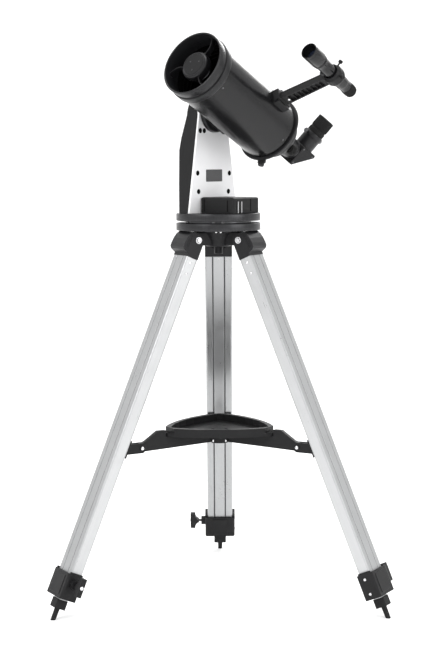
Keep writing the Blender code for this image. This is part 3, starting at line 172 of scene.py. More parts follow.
M = {
    "plastic": surface("black_plastic_look", (0.010, 0.010, 0.0105), 0.42, bump=0.12, grain=1400,
                       shine=0.16),
    "core": surface("arm_plastic_look", (0.013, 0.013, 0.0135), 0.50, bump=0.22, grain=1100,
                    shine=0.14),
    "cap": surface("cap_plastic_look", (0.012, 0.012, 0.013), 0.40, bump=0.10, grain=1200,
                   edge=0.0010, shine=0.18),
    "paint": surface("tube_paint_look", (0.006, 0.006, 0.0065), 0.24, bump=0.03, coat=0.12,
                     spread=0.05, shine=0.20),
    "satin": surface("satin_ring_look", (0.010, 0.010, 0.011), 0.32, bump=0.04, coat=0.05, shine=0.24),
    "disc": surface("brushed_disc_look", (0.034, 0.034, 0.036), 0.34, 0.75, grain=240, bump=0.10,
                    vary=0.35, stretch=(4, 4, 0.15), edge=0.0010),
    "matt": surface("matt_black_look", (0.004, 0.004, 0.004), 0.85, bump=0.10, grain=700, shine=0.06),
    "white": surface("white_panel_look", (0.74, 0.74, 0.75), 0.38, bump=0.04, grain=1500,
                     vary=0.02, edge=0.0009),
    "label": surface("label_look", (0.045, 0.045, 0.047), 0.35, bump=0.02, grain=600, vary=0.04),
    "aluminium": surface("leg_aluminium_look", (0.40, 0.405, 0.41), 0.33, 0.80, grain=520,
                         bump=0.08, vary=0.05, stretch=(1, 1, 0.03), edge=0.0007),
    # dark copy of the leg metal: painted shade for the grooves in the leg tubes
    "groove_shade": surface("painted_groove_shade_look", (0.05, 0.05, 0.052), 0.55, 0.3, bump=0.06),
    "steel": surface("plated_steel_look", (0.66, 0.66, 0.67), 0.24, 1.0, grain=700, bump=0.05, vary=0.08),
    "dark_steel": surface("dark_steel_look", (0.12, 0.12, 0.125), 0.35, 1.0, grain=700, bump=0.06),
    "brass": surface("brass_look", (0.62, 0.46, 0.20), 0.32, 1.0, grain=500, bump=0.05),
    "rubber": surface("rubber_look", (0.009, 0.009, 0.009), 0.72, bump=0.20, grain=900, shine=0.14),
    "foot": surface("foot_rubber_look", (0.012, 0.012, 0.0125), 0.62, bump=0.20, grain=700,
                    edge=0.0012, shine=0.16),
    "mirror": surface("mirror_look", (0.30, 0.31, 0.33), 0.03, 1.0, bump=0.0, vary=0.01, spread=0.01),
    "board": surface("board_look", (0.015, 0.12, 0.05), 0.40, bump=0.10, grain=260, vary=0.4),
    "glass": surface("coated_lens_look", (0.012, 0.016, 0.030), 0.04, bump=0.0, coat=1.0,
                     spread=0.02, vary=0.3, blotch=60),
    # lighter copy of the leg aluminium: painted highlight for the light falling on the legs' narrow side
    # faces
    "painted_highlight": surface("painted_side_highlight_look", (0.46, 0.465, 0.47), 0.34, 0.60, grain=520,
                      bump=0.06, vary=0.04, stretch=(1, 1, 0.03)),
    "pad": surface("pad_look", (0.45, 0.45, 0.46), 0.5, bump=0.05, vary=0.05),
}


# ------------------------------------------------------------------ shapes
def to_mesh(working):
    bmesh.ops.remove_doubles(working, verts=working.verts, dist=0.000001)
    bmesh.ops.recalc_face_normals(working, faces=working.faces)
    mesh = bpy.data.meshes.new("piece")
    working.to_mesh(mesh)
    working.free()
    return mesh


def lathe(profile, facets=FINE, axis="X", grip=0, depth=0.0, rows=None):
    """Ring of revolution through (radius, height) points; grip > 0 cuts that many ribs into it."""
    working = bmesh.new()
    rings = []
    for index, (radius, height) in enumerate(profile):
        ring = []
        for step in range(facets):
            turn = 2 * pi * step / facets
            r = radius
            if grip and rows and rows[0] <= index <= rows[1] and (step * grip * 2 // facets) % 2:
                r = radius - depth
            a, b = r * cos(turn), r * sin(turn)
            spot = {"X": (height, a, b), "Y": (b, height, a), "Z": (a, b, height)}[axis]
            ring.append(working.verts.new(spot))
        rings.append(ring)
    count = len(rings)
    for index in range(count):
        near, far = rings[index], rings[(index + 1) % count]
        if index == count - 1 and profile[0][0] < 1e-6 and profile[-1][0] < 1e-6:
            continue
        for step in range(facets):
            after = (step + 1) % facets
            corners = [near[step], near[after], far[after], far[step]]
            try:
                working.faces.new(corners)
            except ValueError:
                pass
    bmesh.ops.dissolve_degenerate(working, edges=working.edges, dist=0.0000005)
    return to_mesh(working)


def prism(outline, low, high, axis="Z"):
    """Outline pulled along an axis; its points are (x, y), (x, z) or (y, z) in that order."""
    spots = {"Z": lambda a, b, c: (a, b, c), "Y": lambda a, b, c: (a, c, b),
             "X": lambda a, b, c: (c, a, b)}[axis]
    working = bmesh.new()
    face = working.faces.new([working.verts.new(spots(a, b, low)) for a, b in outline])
    pulled = bmesh.ops.extrude_face_region(working, geom=[face])
    corners = [item for item in pulled["geom"] if isinstance(item, bmesh.types.BMVert)]
    bmesh.ops.translate(working, verts=corners, vec=spots(0, 0, high - low))
    return to_mesh(working)


def rounded(low, high, radius, steps=5):
    """Outline of a rectangle with round corners."""
    centres = ((high[0] - radius, high[1] - radius), (low[0] + radius, high[1] - radius),
               (low[0] + radius, low[1] + radius), (high[0] - radius, low[1] + radius))
    outline = []
    for number, (x, y) in enumerate(centres):
        for step in range(steps + 1):
            turn = number * pi / 2 + pi / 2 * step / steps
            outline.append((x + radius * cos(turn), y + radius * sin(turn)))
    return outline


def oblong(low, high, start, end, axis="Z"):
    """Straight bar between two corners of its cross-section and two places along its axis."""
    corners = [(low[0], low[1]), (high[0], low[1]), (high[0], high[1]), (low[0], high[1])]
    return prism(corners, start, end, axis)


def merged(*meshes):
    """One mesh from several; they stay separate shells."""
    working = bmesh.new()
    for mesh in meshes:
        working.from_mesh(mesh)
    whole = bpy.data.meshes.new("piece")
    working.to_mesh(whole)
    working.free()
    return whole


def at(mesh, matrix):
    mesh.transform(matrix)
    return mesh


def one_each(turns, shape):
    """Freshly made copies of a shape, one for each turn in degrees about the axis it is built above."""
    return [at(shape(), about_x(turn)) for turn in turns]


def add(name, mesh, look, body, place=WORLD, replaces=(), bevel=0.0):
    """Piece with its finish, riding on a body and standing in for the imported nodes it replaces."""
    piece = bpy.data.objects.new(name, mesh)
    bpy.context.scene.collection.objects.link(piece)
    piece.matrix_world = place
    mesh.materials.clear()
    mesh.materials.append(M[look])
    mesh.shade_smooth()
    mesh.set_sharp_from_angle(angle=radians(SMOOTH_ANGLE))
    if bevel:
        edge = piece.modifiers.new("edge", "BEVEL")
        edge.width = bevel
        edge.segments = 3
        edge.limit_method = "ANGLE"
        edge.angle_limit = radians(35)
        edge.harden_normals = True
    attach(piece, body)
    if replaces:
        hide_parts(*replaces)


def screw_head(radius=0.0032, height=0.0016, cross=True):
    """Domed screw head with a cross recess, its seat at z = 0."""
    profile = [(0.0, 0.0), (radius, 0.0), (radius, height * 0.35), (radius * 0.86, height * 0.78),
               (radius * 0.6, height), (0.0, height)]
    head = lathe(profile, LOW, "Z")
    if not cross:
        return head
    marks = []
    for turn in (0, pi / 2):
        bar = prism([(-radius * 0.5, -radius * 0.11), (radius * 0.5, -radius * 0.11),
                     (radius * 0.5, radius * 0.11), (-radius * 0.5, radius * 0.11)],
                    height * 0.5, height * 1.04)
        marks.append(at(bar, Matrix.Rotation(turn + 0.5, 4, "Z")))
    return merged(head, *marks)


def socket_head(radius=0.003, height=0.002):
    profile = [(0.0, 0.0), (radius, 0.0), (radius, height * 0.8), (radius * 0.9, height),
               (radius * 0.52, height), (radius * 0.50, height * 0.45), (0.0, height * 0.45)]
    return lathe(profile, LOW, "Z")


def thumb_screw(shank=0.0020, neck=0.008, head=0.0052, length=0.009, ribs=14):
    """Knurled thumb screw standing on z = 0."""
    profile = [(0.0, 0.0), (shank, 0.0), (shank, neck), (head * 0.8, neck), (head, neck + 0.001),
               (head, neck + length - 0.001), (head * 0.82, neck + length), (0.0, neck + length)]
    return lathe(profile, ribs * 4, "Z", ribs, 0.0006, (4, 5))


def along(direction, location=(0, 0, 0)):
    """Matrix that carries +Z to a direction and moves it to a place."""
    turn = Vector(direction).to_track_quat("Z", "Y").to_matrix().to_4x4()
    return Matrix.Translation(location) @ turn


# ------------------------------------------------------------------ optical tube
def build_tube():
    add("tube_shell", lathe([(0.0605, -0.0750), (0.0625, -0.0750), (0.0625, 0.1630), (0.0605, 0.1630)]),
        "paint", "telescope", OPTICS, ["optical_tube"])
    add("tube_lining", lathe([(0.06035, -0.0660), (0.06045, -0.0660), (0.06045, 0.1500), (0.06035, 0.1500)]),
        "matt", "telescope", OPTICS)
    lip = [(0.0602, 0.1512), (0.0602, 0.1633), (0.0629, 0.1633), (0.0629, 0.1512), (0.0649, 0.1512),
           (0.0655, 0.1518), (0.0657, 0.1526), (0.0657, 0.1644), (0.0653, 0.1654), (0.0640, 0.1657),
           (0.0630, 0.1662), (0.0628, 0.1675), (0.0632, 0.1687), (0.0640, 0.1691), (0.0642, 0.1698),
           (0.0643, 0.1846), (0.0640, 0.1852), (0.0642, 0.1857), (0.0643, 0.1862), (0.0641, 0.1867),
           (0.0636, 0.1870), (0.0622, 0.1870), (0.0612, 0.1862), (0.0607, 0.1840), (0.0602, 0.1640),
           (0.0582, 0.1512)]
    add("tube_lip", lathe(lip), "satin", "telescope", OPTICS, ["front_ring"])
    rings = []
    for number in range(1, 5):
        place = 0.150 - 0.010 * number
        inner = 0.0600 - 0.0006 * number
        rings.append(lathe([(inner, place), (0.0604, place), (0.0604, place - 0.0015),
                            (inner + 0.0002, place - 0.0008)]))
    add("tube_baffle_rings", merged(*rings), "matt", "telescope", OPTICS)
    screws = []
    for x in (0.1440, -0.0640):
        for angle in (-60, 30, 120, 210):
            spot = about_x(angle) @ shift(x, 0, 0.0624)
            screws.append(at(screw_head(0.0019, 0.0010), spot))
    add("tube_screws", merged(*screws), "dark_steel", "telescope", OPTICS)


def vane(inner=0.0270, outer=0.0600, front=0.1752, depth=0.0118, thick=0.0014, bow=0.0056, lean=0.0042):
    """Bowed vane standing above the optical axis."""
    steps = 14
    spine = []
    for step in range(steps + 1):
        share = step / steps
        aside = lean * (1 - share) + bow * 4 * share * (1 - share)
        spine.append((aside, inner + (outer - inner) * share))
    near = [(y - thick / 2, z) for y, z in spine]
    far = [(y + thick / 2, z) for y, z in spine]
    return prism(near + far[::-1], front - depth, front, "X")


def build_spider():
    hub = [(0.0, 0.1660), (0.0226, 0.1660), (0.0226, 0.1598), (0.0256, 0.1598), (0.0270, 0.1620),
           (0.0280, 0.1644), (0.0280, 0.1768), (0.0276, 0.1782), (0.0264, 0.1796), (0.0248, 0.1806),
           (0.0244, 0.1815), (0.0236, 0.1817), (0.0230, 0.1810), (0.0226, 0.1803), (0.0130, 0.1804),
           (0.0, 0.1804)]
    add("secondary_housing", lathe(hub), "satin", "telescope", OPTICS, ["spider"])
    turns = [VANE_TURN + 120 * number for number in range(3)]
    root = [(0.0010, 0.0270), (0.0080, 0.0266), (0.0070, 0.0290), (0.0030, 0.0294)]
    vanes = one_each(turns, vane)
    roots = one_each(turns, lambda: prism(root, 0.1640, 0.1750, "X"))
    ends = one_each(turns, lambda: oblong((-0.0040, 0.0592), (0.0040, 0.0603), 0.1655, 0.1745, "X"))
    add("spider_vanes", merged(*vanes, *roots, *ends), "satin", "telescope", OPTICS)
    cap = [(0.0, 0.1803), (0.0206, 0.1803), (0.0208, 0.1806), (0.0206, 0.1809), (0.0, 0.1810)]
    add("secondary_cap", lathe(cap, FINE), "plastic", "telescope", OPTICS)
    face = shift(0.1806, 0, 0.0118) @ Matrix.Rotation(pi / 2, 4, "Y")
    dots = one_each((60, 180, 300), lambda: at(socket_head(0.0014, 0.0006), face))
    add("secondary_screws", merged(*dots), "dark_steel", "telescope", OPTICS)


def build_mirrors():
    back = -0.0610
    rim = back + 0.010
    dish = [(0.0145, back), (0.0570, back), (0.0570, rim - 0.0005), (0.0565, rim)]
    dish += [(0.0570 * s, rim - 0.0026 * (1 - s * s)) for s in (0.9, 0.8, 0.65, 0.5, 0.4, 0.3)]
    dish += [(0.0145, rim - 0.0024)]
    add("primary_glass", lathe(dish), "mirror", "primary", OPTICS, ["primary_mirror"])
    low = -0.1103
    bore = [(0.0128, low), (0.0140, low), (0.0140, low + 0.0842), (0.0137, low + 0.0850),
            (0.0128, low + 0.0850)]
    grooves = [lathe([(0.0140, x), (0.0144, x + 0.0006), (0.0144, x + 0.0018), (0.0140, x + 0.0024)], MID)
               for x in (-0.0330, -0.0440)]
    add("baffle_pipe", merged(lathe(bore, MID), *grooves), "matt", "telescope", OPTICS, ["baffle_tube"])


def build_rear():
    face, back, end = -0.0753, -0.0803, -0.1120
    drum = [(0.0150, end), (0.0290, end), (0.0294, end - 0.0004), (0.0300, end), (0.0430, end),
            (0.0448, end + 0.0008), (0.0460, end + 0.0030), (0.0464, end + 0.0060), (0.0492, back - 0.0030),
            (0.0500, back), (0.0666, back), (0.0676, back + 0.0006), (0.0680, back + 0.0016),
            (0.0680, face - 0.0014), (0.0676, face - 0.0004), (0.0666, face), (0.0602, face),
            (0.0602, face + 0.0075), (0.0580, face + 0.0078), (0.0470, back), (0.0430, end + 0.006),
            (0.0185, end + 0.006), (0.0185, face), (0.0150, face)]
    add("rear_drum", lathe(drum), "satin", "telescope", OPTICS, ["rear_cell"])
    backwards = Matrix.Rotation(-pi / 2, 4, "Y")
    on_flange = shift(back, 0, 0.0600) @ backwards
    on_end = shift(end, 0, 0.0355) @ backwards
    sockets = one_each(range(20, 380, 60), lambda: at(socket_head(0.0030, 0.0022), on_flange))
    screws = one_each((-10, 110, 230), lambda: at(screw_head(0.0028, 0.0015), on_end))
    add("rear_screws", merged(*sockets, *screws), "steel", "telescope", OPTICS)
    lug = prism(rounded((-0.0085, 0.0670), (0.0085, 0.0745), 0.0015), -0.0025, 0.0020, "X")
    add("rear_lug", lug, "satin", "telescope", LUG)
    stud = lathe([(0.0, 0.0695), (0.0030, 0.0695), (0.0030, 0.0730), (0.0058, 0.0735), (0.0062, 0.0742),
                  (0.0062, 0.0792), (0.0056, 0.0800), (0.0, 0.0800)], 48, "Z", 12, 0.0006, (4, 5))
    add("rear_stud", stud, "plastic", "telescope", LUG)


def build_rear_fittings():
    knob = [(0.0, -0.1282), (0.0086, -0.1282), (0.0096, -0.1274), (0.0100, -0.1262), (0.0100, -0.1160),
            (0.0094, -0.1150), (0.0075, -0.1146), (0.0075, -0.1124), (0.0030, -0.1124), (0.0030, -0.0796),
            (0.0, -0.0796)]
    add("focus_grip", lathe(knob, 96, "X", 24, 0.0008, (3, 4)), "rubber", "focuser",
        OPTICS @ about_x(124) @ shift(0, 0, 0.040), ["focus_knob"])
    ring = [(0.0163, -0.1400), (0.0228, -0.1400), (0.0232, -0.1396), (0.0232, -0.1372), (0.0255, -0.1366),
            (0.0260, -0.1358), (0.0260, -0.1300), (0.0256, -0.1292), (0.0248, -0.1290), (0.0248, -0.1276),
            (0.0258, -0.1270), (0.0260, -0.1262), (0.0260, -0.1136), (0.0254, -0.1123), (0.0163, -0.1123)]
    add("visual_back_ring", lathe(ring, 144, "X", 36, 0.0007, (5, 6)), "satin", "telescope", OPTICS,
        ["visual_back"])


# ------------------------------------------------------------------ diagonal and eyepiece
FOLD = -0.1842                  # fold of the light path along the tube
HALF = 0.0205                   # half width of the diagonal's housing


def build_diagonal():
    front = FOLD + HALF
    rear = FOLD - HALF - 0.003
    low = -0.0245
    side = [(front, low), (front, HALF), (rear + 0.0020, HALF), (rear, HALF - 0.0020),
            (rear, HALF - 0.0060), (front - 0.0060, low)]
    housing = prism(side, -HALF - 0.001, HALF + 0.001, "Y")
    add("diagonal_housing", housing, "plastic", "diagonal", DIAGONAL, ["diagonal_body"],
        bevel=0.0014)
    collar = lathe([(0.0160, -0.1640), (0.0208, -0.1640), (0.0209, -0.1600), (0.0200, -0.1594),
                    (0.0200, -0.1560), (0.0209, -0.1554), (0.0209, -0.1410), (0.0204, -0.1405),
                    (0.0158, -0.1405), (0.0158, -0.1145), (0.0150, -0.1142), (0.0146, -0.1142),
                    (0.0146, -0.1640)], MID)
    add("diagonal_collar", collar, "satin", "diagonal", DIAGONAL)
    holder = lathe([(0.0163, HALF), (0.0193, HALF), (0.0195, HALF + 0.0010), (0.0195, HALF + 0.0224),
                    (0.0203, HALF + 0.0230), (0.0209, HALF + 0.0236), (0.0209, HALF + 0.0320),
                    (0.0204, HALF + 0.0329), (0.0163, HALF + 0.0329)], FINE, "Z")
    add("diagonal_holder", at(holder, shift(FOLD, 0, 0)), "satin", "diagonal", DIAGONAL)
    screws = []
    for angle in (0, 180):
        spot = shift(FOLD, 0, HALF + 0.0276) @ spin_z(radians(angle)) @ along((1, 0, 0), (0.0200, 0, 0))
        screws.append(at(thumb_screw(0.0018, 0.0030, 0.0046, 0.0056, 12), spot))
    add("holder_screws", merged(*screws), "dark_steel", "diagonal", DIAGONAL)
    plates = []
    corners = ((front - 0.005, HALF - 0.005), (front - 0.005, low + 0.006), (rear + 0.007, HALF - 0.006))
    for sign in (-1, 1):
        for x, z in corners:
            spot = along((0, sign, 0), (x, sign * (HALF + 0.0009), z))
            plates.append(at(screw_head(0.0017, 0.0009), spot))
    add("housing_screws", merged(*plates), "dark_steel", "diagonal", DIAGONAL)


def build_eyepiece():
    seat = HALF + 0.0333
    barrel = [(0.0, seat - 0.020), (0.0128, seat - 0.020), (0.0158, seat - 0.020), (0.0158, seat)]
    body = [(0.0178, seat), (0.0182, seat + 0.0006), (0.0182, seat + 0.0086), (0.0176, seat + 0.0092),
            (0.0170, seat + 0.0096), (0.0170, seat + 0.0120), (0.0177, seat + 0.0126),
            (0.0182, seat + 0.0132), (0.0182, seat + 0.0300), (0.0177, seat + 0.0308),
            (0.0177, seat + 0.0320), (0.0181, seat + 0.0328), (0.0181, seat + 0.0356),
            (0.0170, seat + 0.0368), (0.0142, seat + 0.0372), (0.0124, seat + 0.0362),
            (0.0106, seat + 0.0330), (0.0, seat + 0.0330)]
    shell = lathe(barrel + body, 144, "Z", 36, 0.0007, (11, 12))
    add("eyepiece_shell", at(shell, shift(FOLD, 0, 0)), "rubber", "eyepiece_body", DIAGONAL, ["eyepiece"])
    lens = lathe([(0.0, seat + 0.0352), (0.004, seat + 0.0350), (0.008, seat + 0.0342),
                  (0.0108, seat + 0.0332), (0.0, seat + 0.0331)], MID, "Z")
    add("eye_lens", at(lens, shift(FOLD, 0, 0)), "glass", "eyepiece_body", DIAGONAL)


# ------------------------------------------------------------------ finder
def build_finder():
    barrel = [(0.0114, -0.0450), (0.0118, -0.0452), (0.0122, -0.0448), (0.0122, -0.0320), (0.0126, -0.0312),
              (0.0130, -0.0300), (0.0130, 0.0380), (0.0132, 0.0420), (0.0146, 0.0500), (0.0150, 0.0510),
              (0.0150, 0.0530), (0.0145, 0.0536), (0.0145, 0.0552), (0.0158, 0.0572), (0.0162, 0.0580),
              (0.0162, 0.0852), (0.0158, 0.0858), (0.0158, 0.0868), (0.0162, 0.0874), (0.0162, 0.0914),
              (0.0158, 0.0920), (0.0150, 0.0920), (0.0147, 0.0910), (0.0147, 0.0700), (0.0114, 0.0560)]
    add("finder_barrel", lathe(barrel, FINE, "X"), "paint", "finder", FINDER, ["finder_tube"])
    objective = lathe([(0.0, 0.0748), (0.0060, 0.0744), (0.0110, 0.0733), (0.0147, 0.0718), (0.0147, 0.0700),
                       (0.0, 0.0700)], MID, "X")
    add("finder_objective", objective, "glass", "finder", FINDER)
    ocular = [(0.0, -0.0372), (0.0110, -0.0372), (0.0110, -0.0453), (0.0121, -0.0454), (0.0126, -0.0462),
              (0.0128, -0.0500), (0.0128, -0.0586), (0.0124, -0.0600), (0.0118, -0.0606), (0.0118, -0.0616),
              (0.0122, -0.0624), (0.0120, -0.0644), (0.0108, -0.0662), (0.0086, -0.0664), (0.0076, -0.0640),
              (0.0, -0.0640)]
    add("finder_ocular", lathe(ocular, 112, "X", 28, 0.0007, (5, 6)), "rubber", "finder_focus", FINDER,
        ["finder_eyepiece"])
    eye = lathe([(0.0, -0.0652), (0.0040, -0.0650), (0.0078, -0.0642), (0.0, -0.0639)], MID, "X")
    add("finder_eye_lens", eye, "glass", "finder_focus", FINDER)


def build_finder_stand():
    above_ring = shift(0.006, 0, 0.0166)
    screws = one_each((42, -42), lambda: at(thumb_screw(0.0017, 0.0075, 0.0042, 0.0060, 12), above_ring))
    add("finder_thumb_screws", merged(*screws), "plastic", "telescope", FINDER)
    plunger = at(lathe([(0.0, 0.0), (0.0050, 0.0), (0.0054, 0.0006), (0.0054, 0.0070), (0.0048, 0.0078),
                        (0.0030, 0.0080), (0.0030, 0.0092), (0.0, 0.0092)], LOW, "Z"),
                 along((1, 0, -0.25), (0.0160, 0, -0.0120)))
    add("finder_plunger", plunger, "satin", "telescope", FINDER)
    bolt = [at(screw_head(0.0030, 0.0018), along((0, sign, 0), (0.0, sign * 0.0070, 0.0860)))
            for sign in (-1, 1)]
    clamp = at(thumb_screw(0.0020, 0.0040, 0.0050, 0.0065, 12), along((0, -1, 0), (0.0, -0.0165, 0.0700)))
    add("finder_foot_bolt", merged(*bolt, clamp), "steel", "telescope", FINDER_SIDE)
    ridges = []
    for number in range(7):
        z = 0.0985 + 0.0095 * number
        for sign in (-1, 1):
            near, far = sorted((sign * 0.0020, sign * 0.0062))
            ridges.append(oblong((-0.0085, z), (0.0085, z + 0.0012), near, far, "Y"))
    add("finder_stalk_ribs", merged(*ridges), "plastic", "telescope", FINDER_SIDE)


# ------------------------------------------------------------------ mount
def disc(low, high):
    """Flat disc with rounded rims and a bore for the spindle."""
    rim = [(0.0020, 0.0), (0.0010, 0.0003), (0.0003, 0.0010), (0.0, 0.0020)]
    lower = [(DISC_RADIUS - inset, low + rise) for inset, rise in rim]
    upper = [(DISC_RADIUS - inset, high - rise) for inset, rise in reversed(rim)]
    return lathe([(0.0114, low)] + lower + upper + [(0.0114, high)], 160, "Z")


def build_mount():
    add("top_disc", disc(0.7560, 0.7710), "disc", "mount", WORLD, ["azimuth_plate"])
    add("bottom_disc", disc(0.7370, 0.7520), "disc", "tripod_root", WORLD, ["lower_disc"])
    pads = []
    for turn in (-98, -82, 22, 142, 202):
        pads.append(at(oblong((0.0652, -0.0032), (0.0668, 0.0032), 0.7524, 0.7556), spin_z(radians(turn))))
    add("bearing_pads", merged(*pads), "pad", "tripod_root", WORLD)


def build_arm_details():
    plug = [(0.0, -0.0123), (0.0050, -0.0123), (0.0051, -0.0119), (0.0046, -0.01165), (0.0, -0.01165)]
    places = ((0.0396, 0.9326), (0.0273, 0.9327), (0.0484, 0.8498), (-0.0509, 0.8489), (0.0460, 0.8136),
              (-0.0474, 0.8126))
    plugs = [at(lathe(plug, LOW, "Y"), shift(x, 0, z)) for x, z in places]
    add("panel_plugs", merged(*plugs), "matt", "mount", MOUNT)
    plate = prism(rounded((-0.0275, 0.8326), (0.0228, 0.8565), 0.0012), -0.0122, -0.0116, "Y")
    add("panel_plate", plate, "label", "mount", MOUNT)
    slots = [oblong((-0.0023, 0.7750), (0.0001, 0.7990), 0.0415, 0.0422, "X"),
             oblong((-0.0125, 0.7750), (-0.0101, 0.7990), 0.0720, 0.0727, "Y"),
             oblong((0.0300, 0.7750), (0.0324, 0.7970), 0.0720, 0.0727, "Y"),
             oblong((0.0560, 0.7750), (0.0584, 0.7970), 0.0415, 0.0422, "X")]
    add("box_slots", merged(*slots), "matt", "mount", MOUNT)
    ridges = [oblong((x - 0.0009, 0.7722), (x + 0.0009, 0.7945), 0.0722, 0.0732, "Y")
              for x in (0.0282, 0.0172)]
    add("box_ridges", merged(*ridges), "pad", "mount", MOUNT)
    bead = lathe([(0.0300, -0.0026), (0.0310, -0.0018), (0.0320, -0.0026)], FINE, "Y")
    add("hub_ring", at(bead, shift(0, 0, ALTITUDE_HEIGHT)), "satin", "telescope", MOUNT)
    backs = [at(screw_head(0.0030, 0.0012), along((0, -1, 0), (x, -0.0412, 0.790))) for x in (-0.045, 0.045)]
    add("back_screws", merged(*backs), "steel", "mount", MOUNT)


# ------------------------------------------------------------------ tripod
def build_leg_bolt(number, place):
    washer = [(0.0, 0.0), (0.0066, 0.0), (0.0066, 0.0006), (0.0, 0.0006)]
    dome = [(0.0, 0.0006), (0.0050, 0.0006), (0.0049, 0.0022), (0.0042, 0.0034), (0.0026, 0.0036),
            (0.0022, 0.0024), (0.0, 0.0024)]
    heads = []
    for sign in (-1, 1):
        spot = along((0, sign, 0), (0, sign * 0.0276, 0))
        heads += [at(lathe(washer, LOW, "Z"), spot), at(lathe(dome, LOW, "Z"), spot)]
    shank = lathe([(0.0, -0.0276), (0.0040, -0.0276), (0.0040, 0.0276), (0.0, 0.0276)], LOW, "Y")
    add(f"hinge_bolt_{number}", merged(*heads, shank), "steel", "tripod_root", place, [f"leg_{number}_bolt"])


def build_leg_tube(number, place, body):
    rivets = []
    for sign in (-1, 1):
        for down in (0.0480, 0.0700):
            rivets.append(at(screw_head(0.0026, 0.0016), along((0, sign, 0), (0.001, sign * 0.0273, -down))))
    rivets.append(at(screw_head(0.0022, 0.0012), along((-1, 0, 0), (-0.0122, 0, -0.0430))))
    add(f"leg_rivets_{number}", merged(*rivets), "steel", body, place)
    end, start = TUBE_RUN
    # thin skins of the lighter aluminium copy on the narrow side faces: painted highlight where light falls
    # on those faces
    edges = []
    for sign in (-1, 1):
        near, far = sorted((sign * 0.0272, sign * 0.0276))
        edges.append(oblong((-0.0095, end), (0.0095, start), near, far, "Y"))
    add(f"leg_painted_highlights_{number}", merged(*edges), "painted_highlight", body, place)
    # dark strips laid in the grooves of the wide faces: painted shade inside the grooves
    lines = []
    for sign in (-1, 1):
        near, far = sorted((sign * 0.0108, sign * 0.0116))
        for y in (-0.0120, 0.0120):
            lines.append(oblong((y - 0.0011, end), (y + 0.0011, start), near, far, "X"))
    add(f"leg_painted_groove_shade_{number}", merged(*lines), "groove_shade", body, place)


def build_leg_plastics(number, place, body):
    horns = []
    for y in (-0.0300, 0.0300):
        horns.append(prism(rounded((-0.0120, y - 0.0032), (0.0150, y + 0.0032), 0.002), -0.6885, -0.6845))
    add(f"clamp_horns_{number}", merged(*horns), "plastic", body, place, bevel=0.0008)
    ribs = []
    for sign in (-1, 1):
        near, far = sorted((sign * 0.0270, sign * 0.0282))
        for x in (0.0150, 0.0185):
            side = [(x, 0.0050), (x + 0.0009, 0.0050), (x + 0.0035, -0.0240), (x + 0.0026, -0.0240)]
            ribs.append(prism(side, near, far, "Y"))
    add(f"cap_ribs_{number}", merged(*ribs), "cap", body, place)
    panel = prism(rounded((-0.0170, -0.7330), (0.0170, -0.6920), 0.003), -0.0178, -0.0160, "X")
    add(f"clamp_panel_{number}", panel, "plastic", body, place, bevel=0.0006)
    front = prism(rounded((-0.0210, -0.7320), (0.0210, -0.6930), 0.003), 0.0180, 0.0194, "X")
    add(f"clamp_front_{number}", front, "plastic", body, place, bevel=0.0006)


def build_leg_screws(number, place, body):
    sides = [at(screw_head(0.0030, 0.0018), along((0, -1, 0), (0, -0.0330, z))) for z in (-0.6980, -0.7270)]
    add(f"clamp_screws_{number}", merged(*sides), "steel", body, place)
    cap = at(screw_head(0.0038, 0.0016), along((0, 1, 0), (0, 0.0659, -KNOB_DROP)))
    add(f"knob_screw_{number}", cap, "steel", f"clamp_knob_{number}", place)
    plates = [at(screw_head(0.0025, 0.0014), along((-1, 0, 0), (-0.0157, y, z)))
              for y in (-0.0195, 0.0195) for z in (-0.4180, -0.4405)]
    add(f"bracket_screws_{number}", merged(*plates), "steel", body, place)
    button = [(0.0, 0.0), (0.0036, 0.0), (0.0034, 0.0012), (0.0024, 0.0018), (0.0, 0.0018)]
    pins = [at(lathe(button, LOW, "Z"), along((0, sign, 0), (-0.0501, sign * 0.0102, -0.4174)))
            for sign in (-1, 1)]
    add(f"bracket_pins_{number}", merged(*pins), "steel", body, place)


def build_leg(number):
    place = leg_frame(number)
    body = f"leg_{number}"
    build_leg_bolt(number, place)
    build_leg_tube(number, place, body)
    build_leg_plastics(number, place, body)
    build_leg_screws(number, place, body)


def build_tripod():
    for number in (1, 2, 3):
        build_leg(number)
    pins = []
    for turn in LEG_TURNS.values():
        for sign in (-1, 1):
            spot = spin_z(turn) @ along((0, sign, 0), (0.0185, sign * 0.0090, 0.3165))
            pins.append(at(screw_head(0.0034, 0.0016, False), spot))
    add("spreader_hub_pins", merged(*pins), "steel", "spreader", WORLD)
    small = []
    for turn in (-95, -85, 35, 145):
        spot = spin_z(radians(turn)) @ along((1, 0, 0), (0.0498, 0, 0.7350))
        small.append(at(screw_head(0.0022, 0.0014), spot))
    add("head_screws", merged(*small), "steel", "tripod_root", WORLD)


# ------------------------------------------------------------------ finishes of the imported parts
def look_of(name):
    exact = {"accessory_tray": "plastic", "altitude_gear": "brass", "altitude_hub": "satin",
             "altitude_motor": "steel", "arm_back_cover": "white", "arm_core": "core",
             "arm_front_cover": "white", "azimuth_bearing": "dark_steel", "azimuth_motor": "steel",
             "base_box": "plastic", "control_board": "board", "diagonal_mirror": "mirror",
             "dovetail_bar": "satin", "secondary_mirror": "mirror", "tripod_head": "cap",
             "spreader_hub": "plastic"}
    if name in exact:
        return exact[name]
    if name.startswith("foot_"):
        return "foot"
    if name.startswith("lower_leg_") or name.endswith("_tube"):
        return "aluminium" if "leg" in name else "paint"
    if name.endswith("_cap"):
        return "cap"
    return "plastic"


def finish_packed_parts():
    for name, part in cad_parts.items():
        part.data.materials.clear()
        part.data.materials.append(M[look_of(name)])
        part.data.shade_smooth()
        part.data.set_sharp_from_angle(angle=radians(PACKED_SMOOTH_ANGLE))


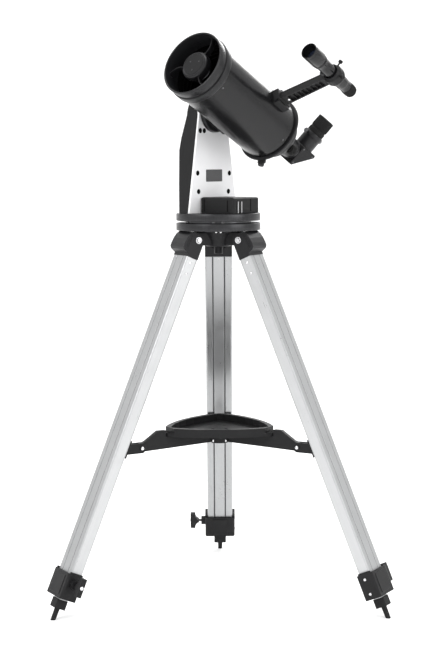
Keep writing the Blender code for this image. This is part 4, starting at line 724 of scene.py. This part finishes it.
# ------------------------------------------------------------------ studio
def build_floor():
    """Pale floor that curves up into a wall behind the object."""
    working = bmesh.new()
    turns = [step * pi / 24 for step in range(1, 13)]
    curve = [(FLOOR_BACK + FLOOR_BEND * sin(turn), FLOOR_BEND - FLOOR_BEND * cos(turn)) for turn in turns]
    rows = [(FLOOR_FRONT, 0.0), (FLOOR_BACK, 0.0)] + curve + [(FLOOR_BACK + FLOOR_BEND, WALL_TOP)]
    lines = []
    for y, z in rows:
        lines.append([working.verts.new((x, y, z)) for x in (-HALF_FLOOR_WIDTH, HALF_FLOOR_WIDTH)])
    for near, far in zip(lines, lines[1:]):
        working.faces.new([near[0], near[1], far[1], far[0]])
    mesh = to_mesh(working)
    floor = bpy.data.objects.new("floor", mesh)
    bpy.context.scene.collection.objects.link(floor)
    paper = bpy.data.materials.new("paper")
    paper.use_nodes = True
    shader = paper.node_tree.nodes["Principled BSDF"]
    shader.inputs["Base Color"].default_value = (0.97, 0.97, 0.97, 1)
    shader.inputs["Roughness"].default_value = 0.9
    mesh.materials.append(paper)
    mesh.shade_smooth()


def build_lights():
    """Even white sky and four soft lamps."""
    world = bpy.data.worlds.new("studio")
    world.use_nodes = True
    back = world.node_tree.nodes["Background"]
    back.inputs["Color"].default_value = (1.0, 1.0, 1.0, 1)
    back.inputs["Strength"].default_value = SKY_STRENGTH
    bpy.context.scene.world = world
    for name, spot, aim, size, power in LAMPS:
        lamp = bpy.data.lights.new(name, "AREA")
        lamp.energy = power
        lamp.size = size
        holder = bpy.data.objects.new(name, lamp)
        bpy.context.scene.collection.objects.link(holder)
        holder.location = spot
        holder.rotation_euler = (Vector((0, 0, aim)) - Vector(spot)).to_track_quat("-Z", "Y").to_euler()


def build_camera():
    """Camera with the photo's view; plain view transform keeps the blacks deep."""
    bpy.context.scene.view_settings.view_transform = "Standard"
    lens = bpy.data.cameras.new("camera")
    lens.lens = CAMERA_LENS
    lens.sensor_width = CAMERA_SENSOR
    camera = bpy.data.objects.new("camera", lens)
    bpy.context.scene.collection.objects.link(camera)
    camera.location = CAMERA_PLACE
    camera.rotation_euler = [radians(angle) for angle in CAMERA_TILT]
    bpy.context.scene.camera = camera


build_tube()
build_spider()
build_mirrors()
build_rear()
build_rear_fittings()
build_diagonal()
build_eyepiece()
build_finder()
build_finder_stand()
build_mount()
build_arm_details()
build_tripod()
finish_packed_parts()
build_floor()
build_lights()
build_camera()
bpy.context.view_layer.update()
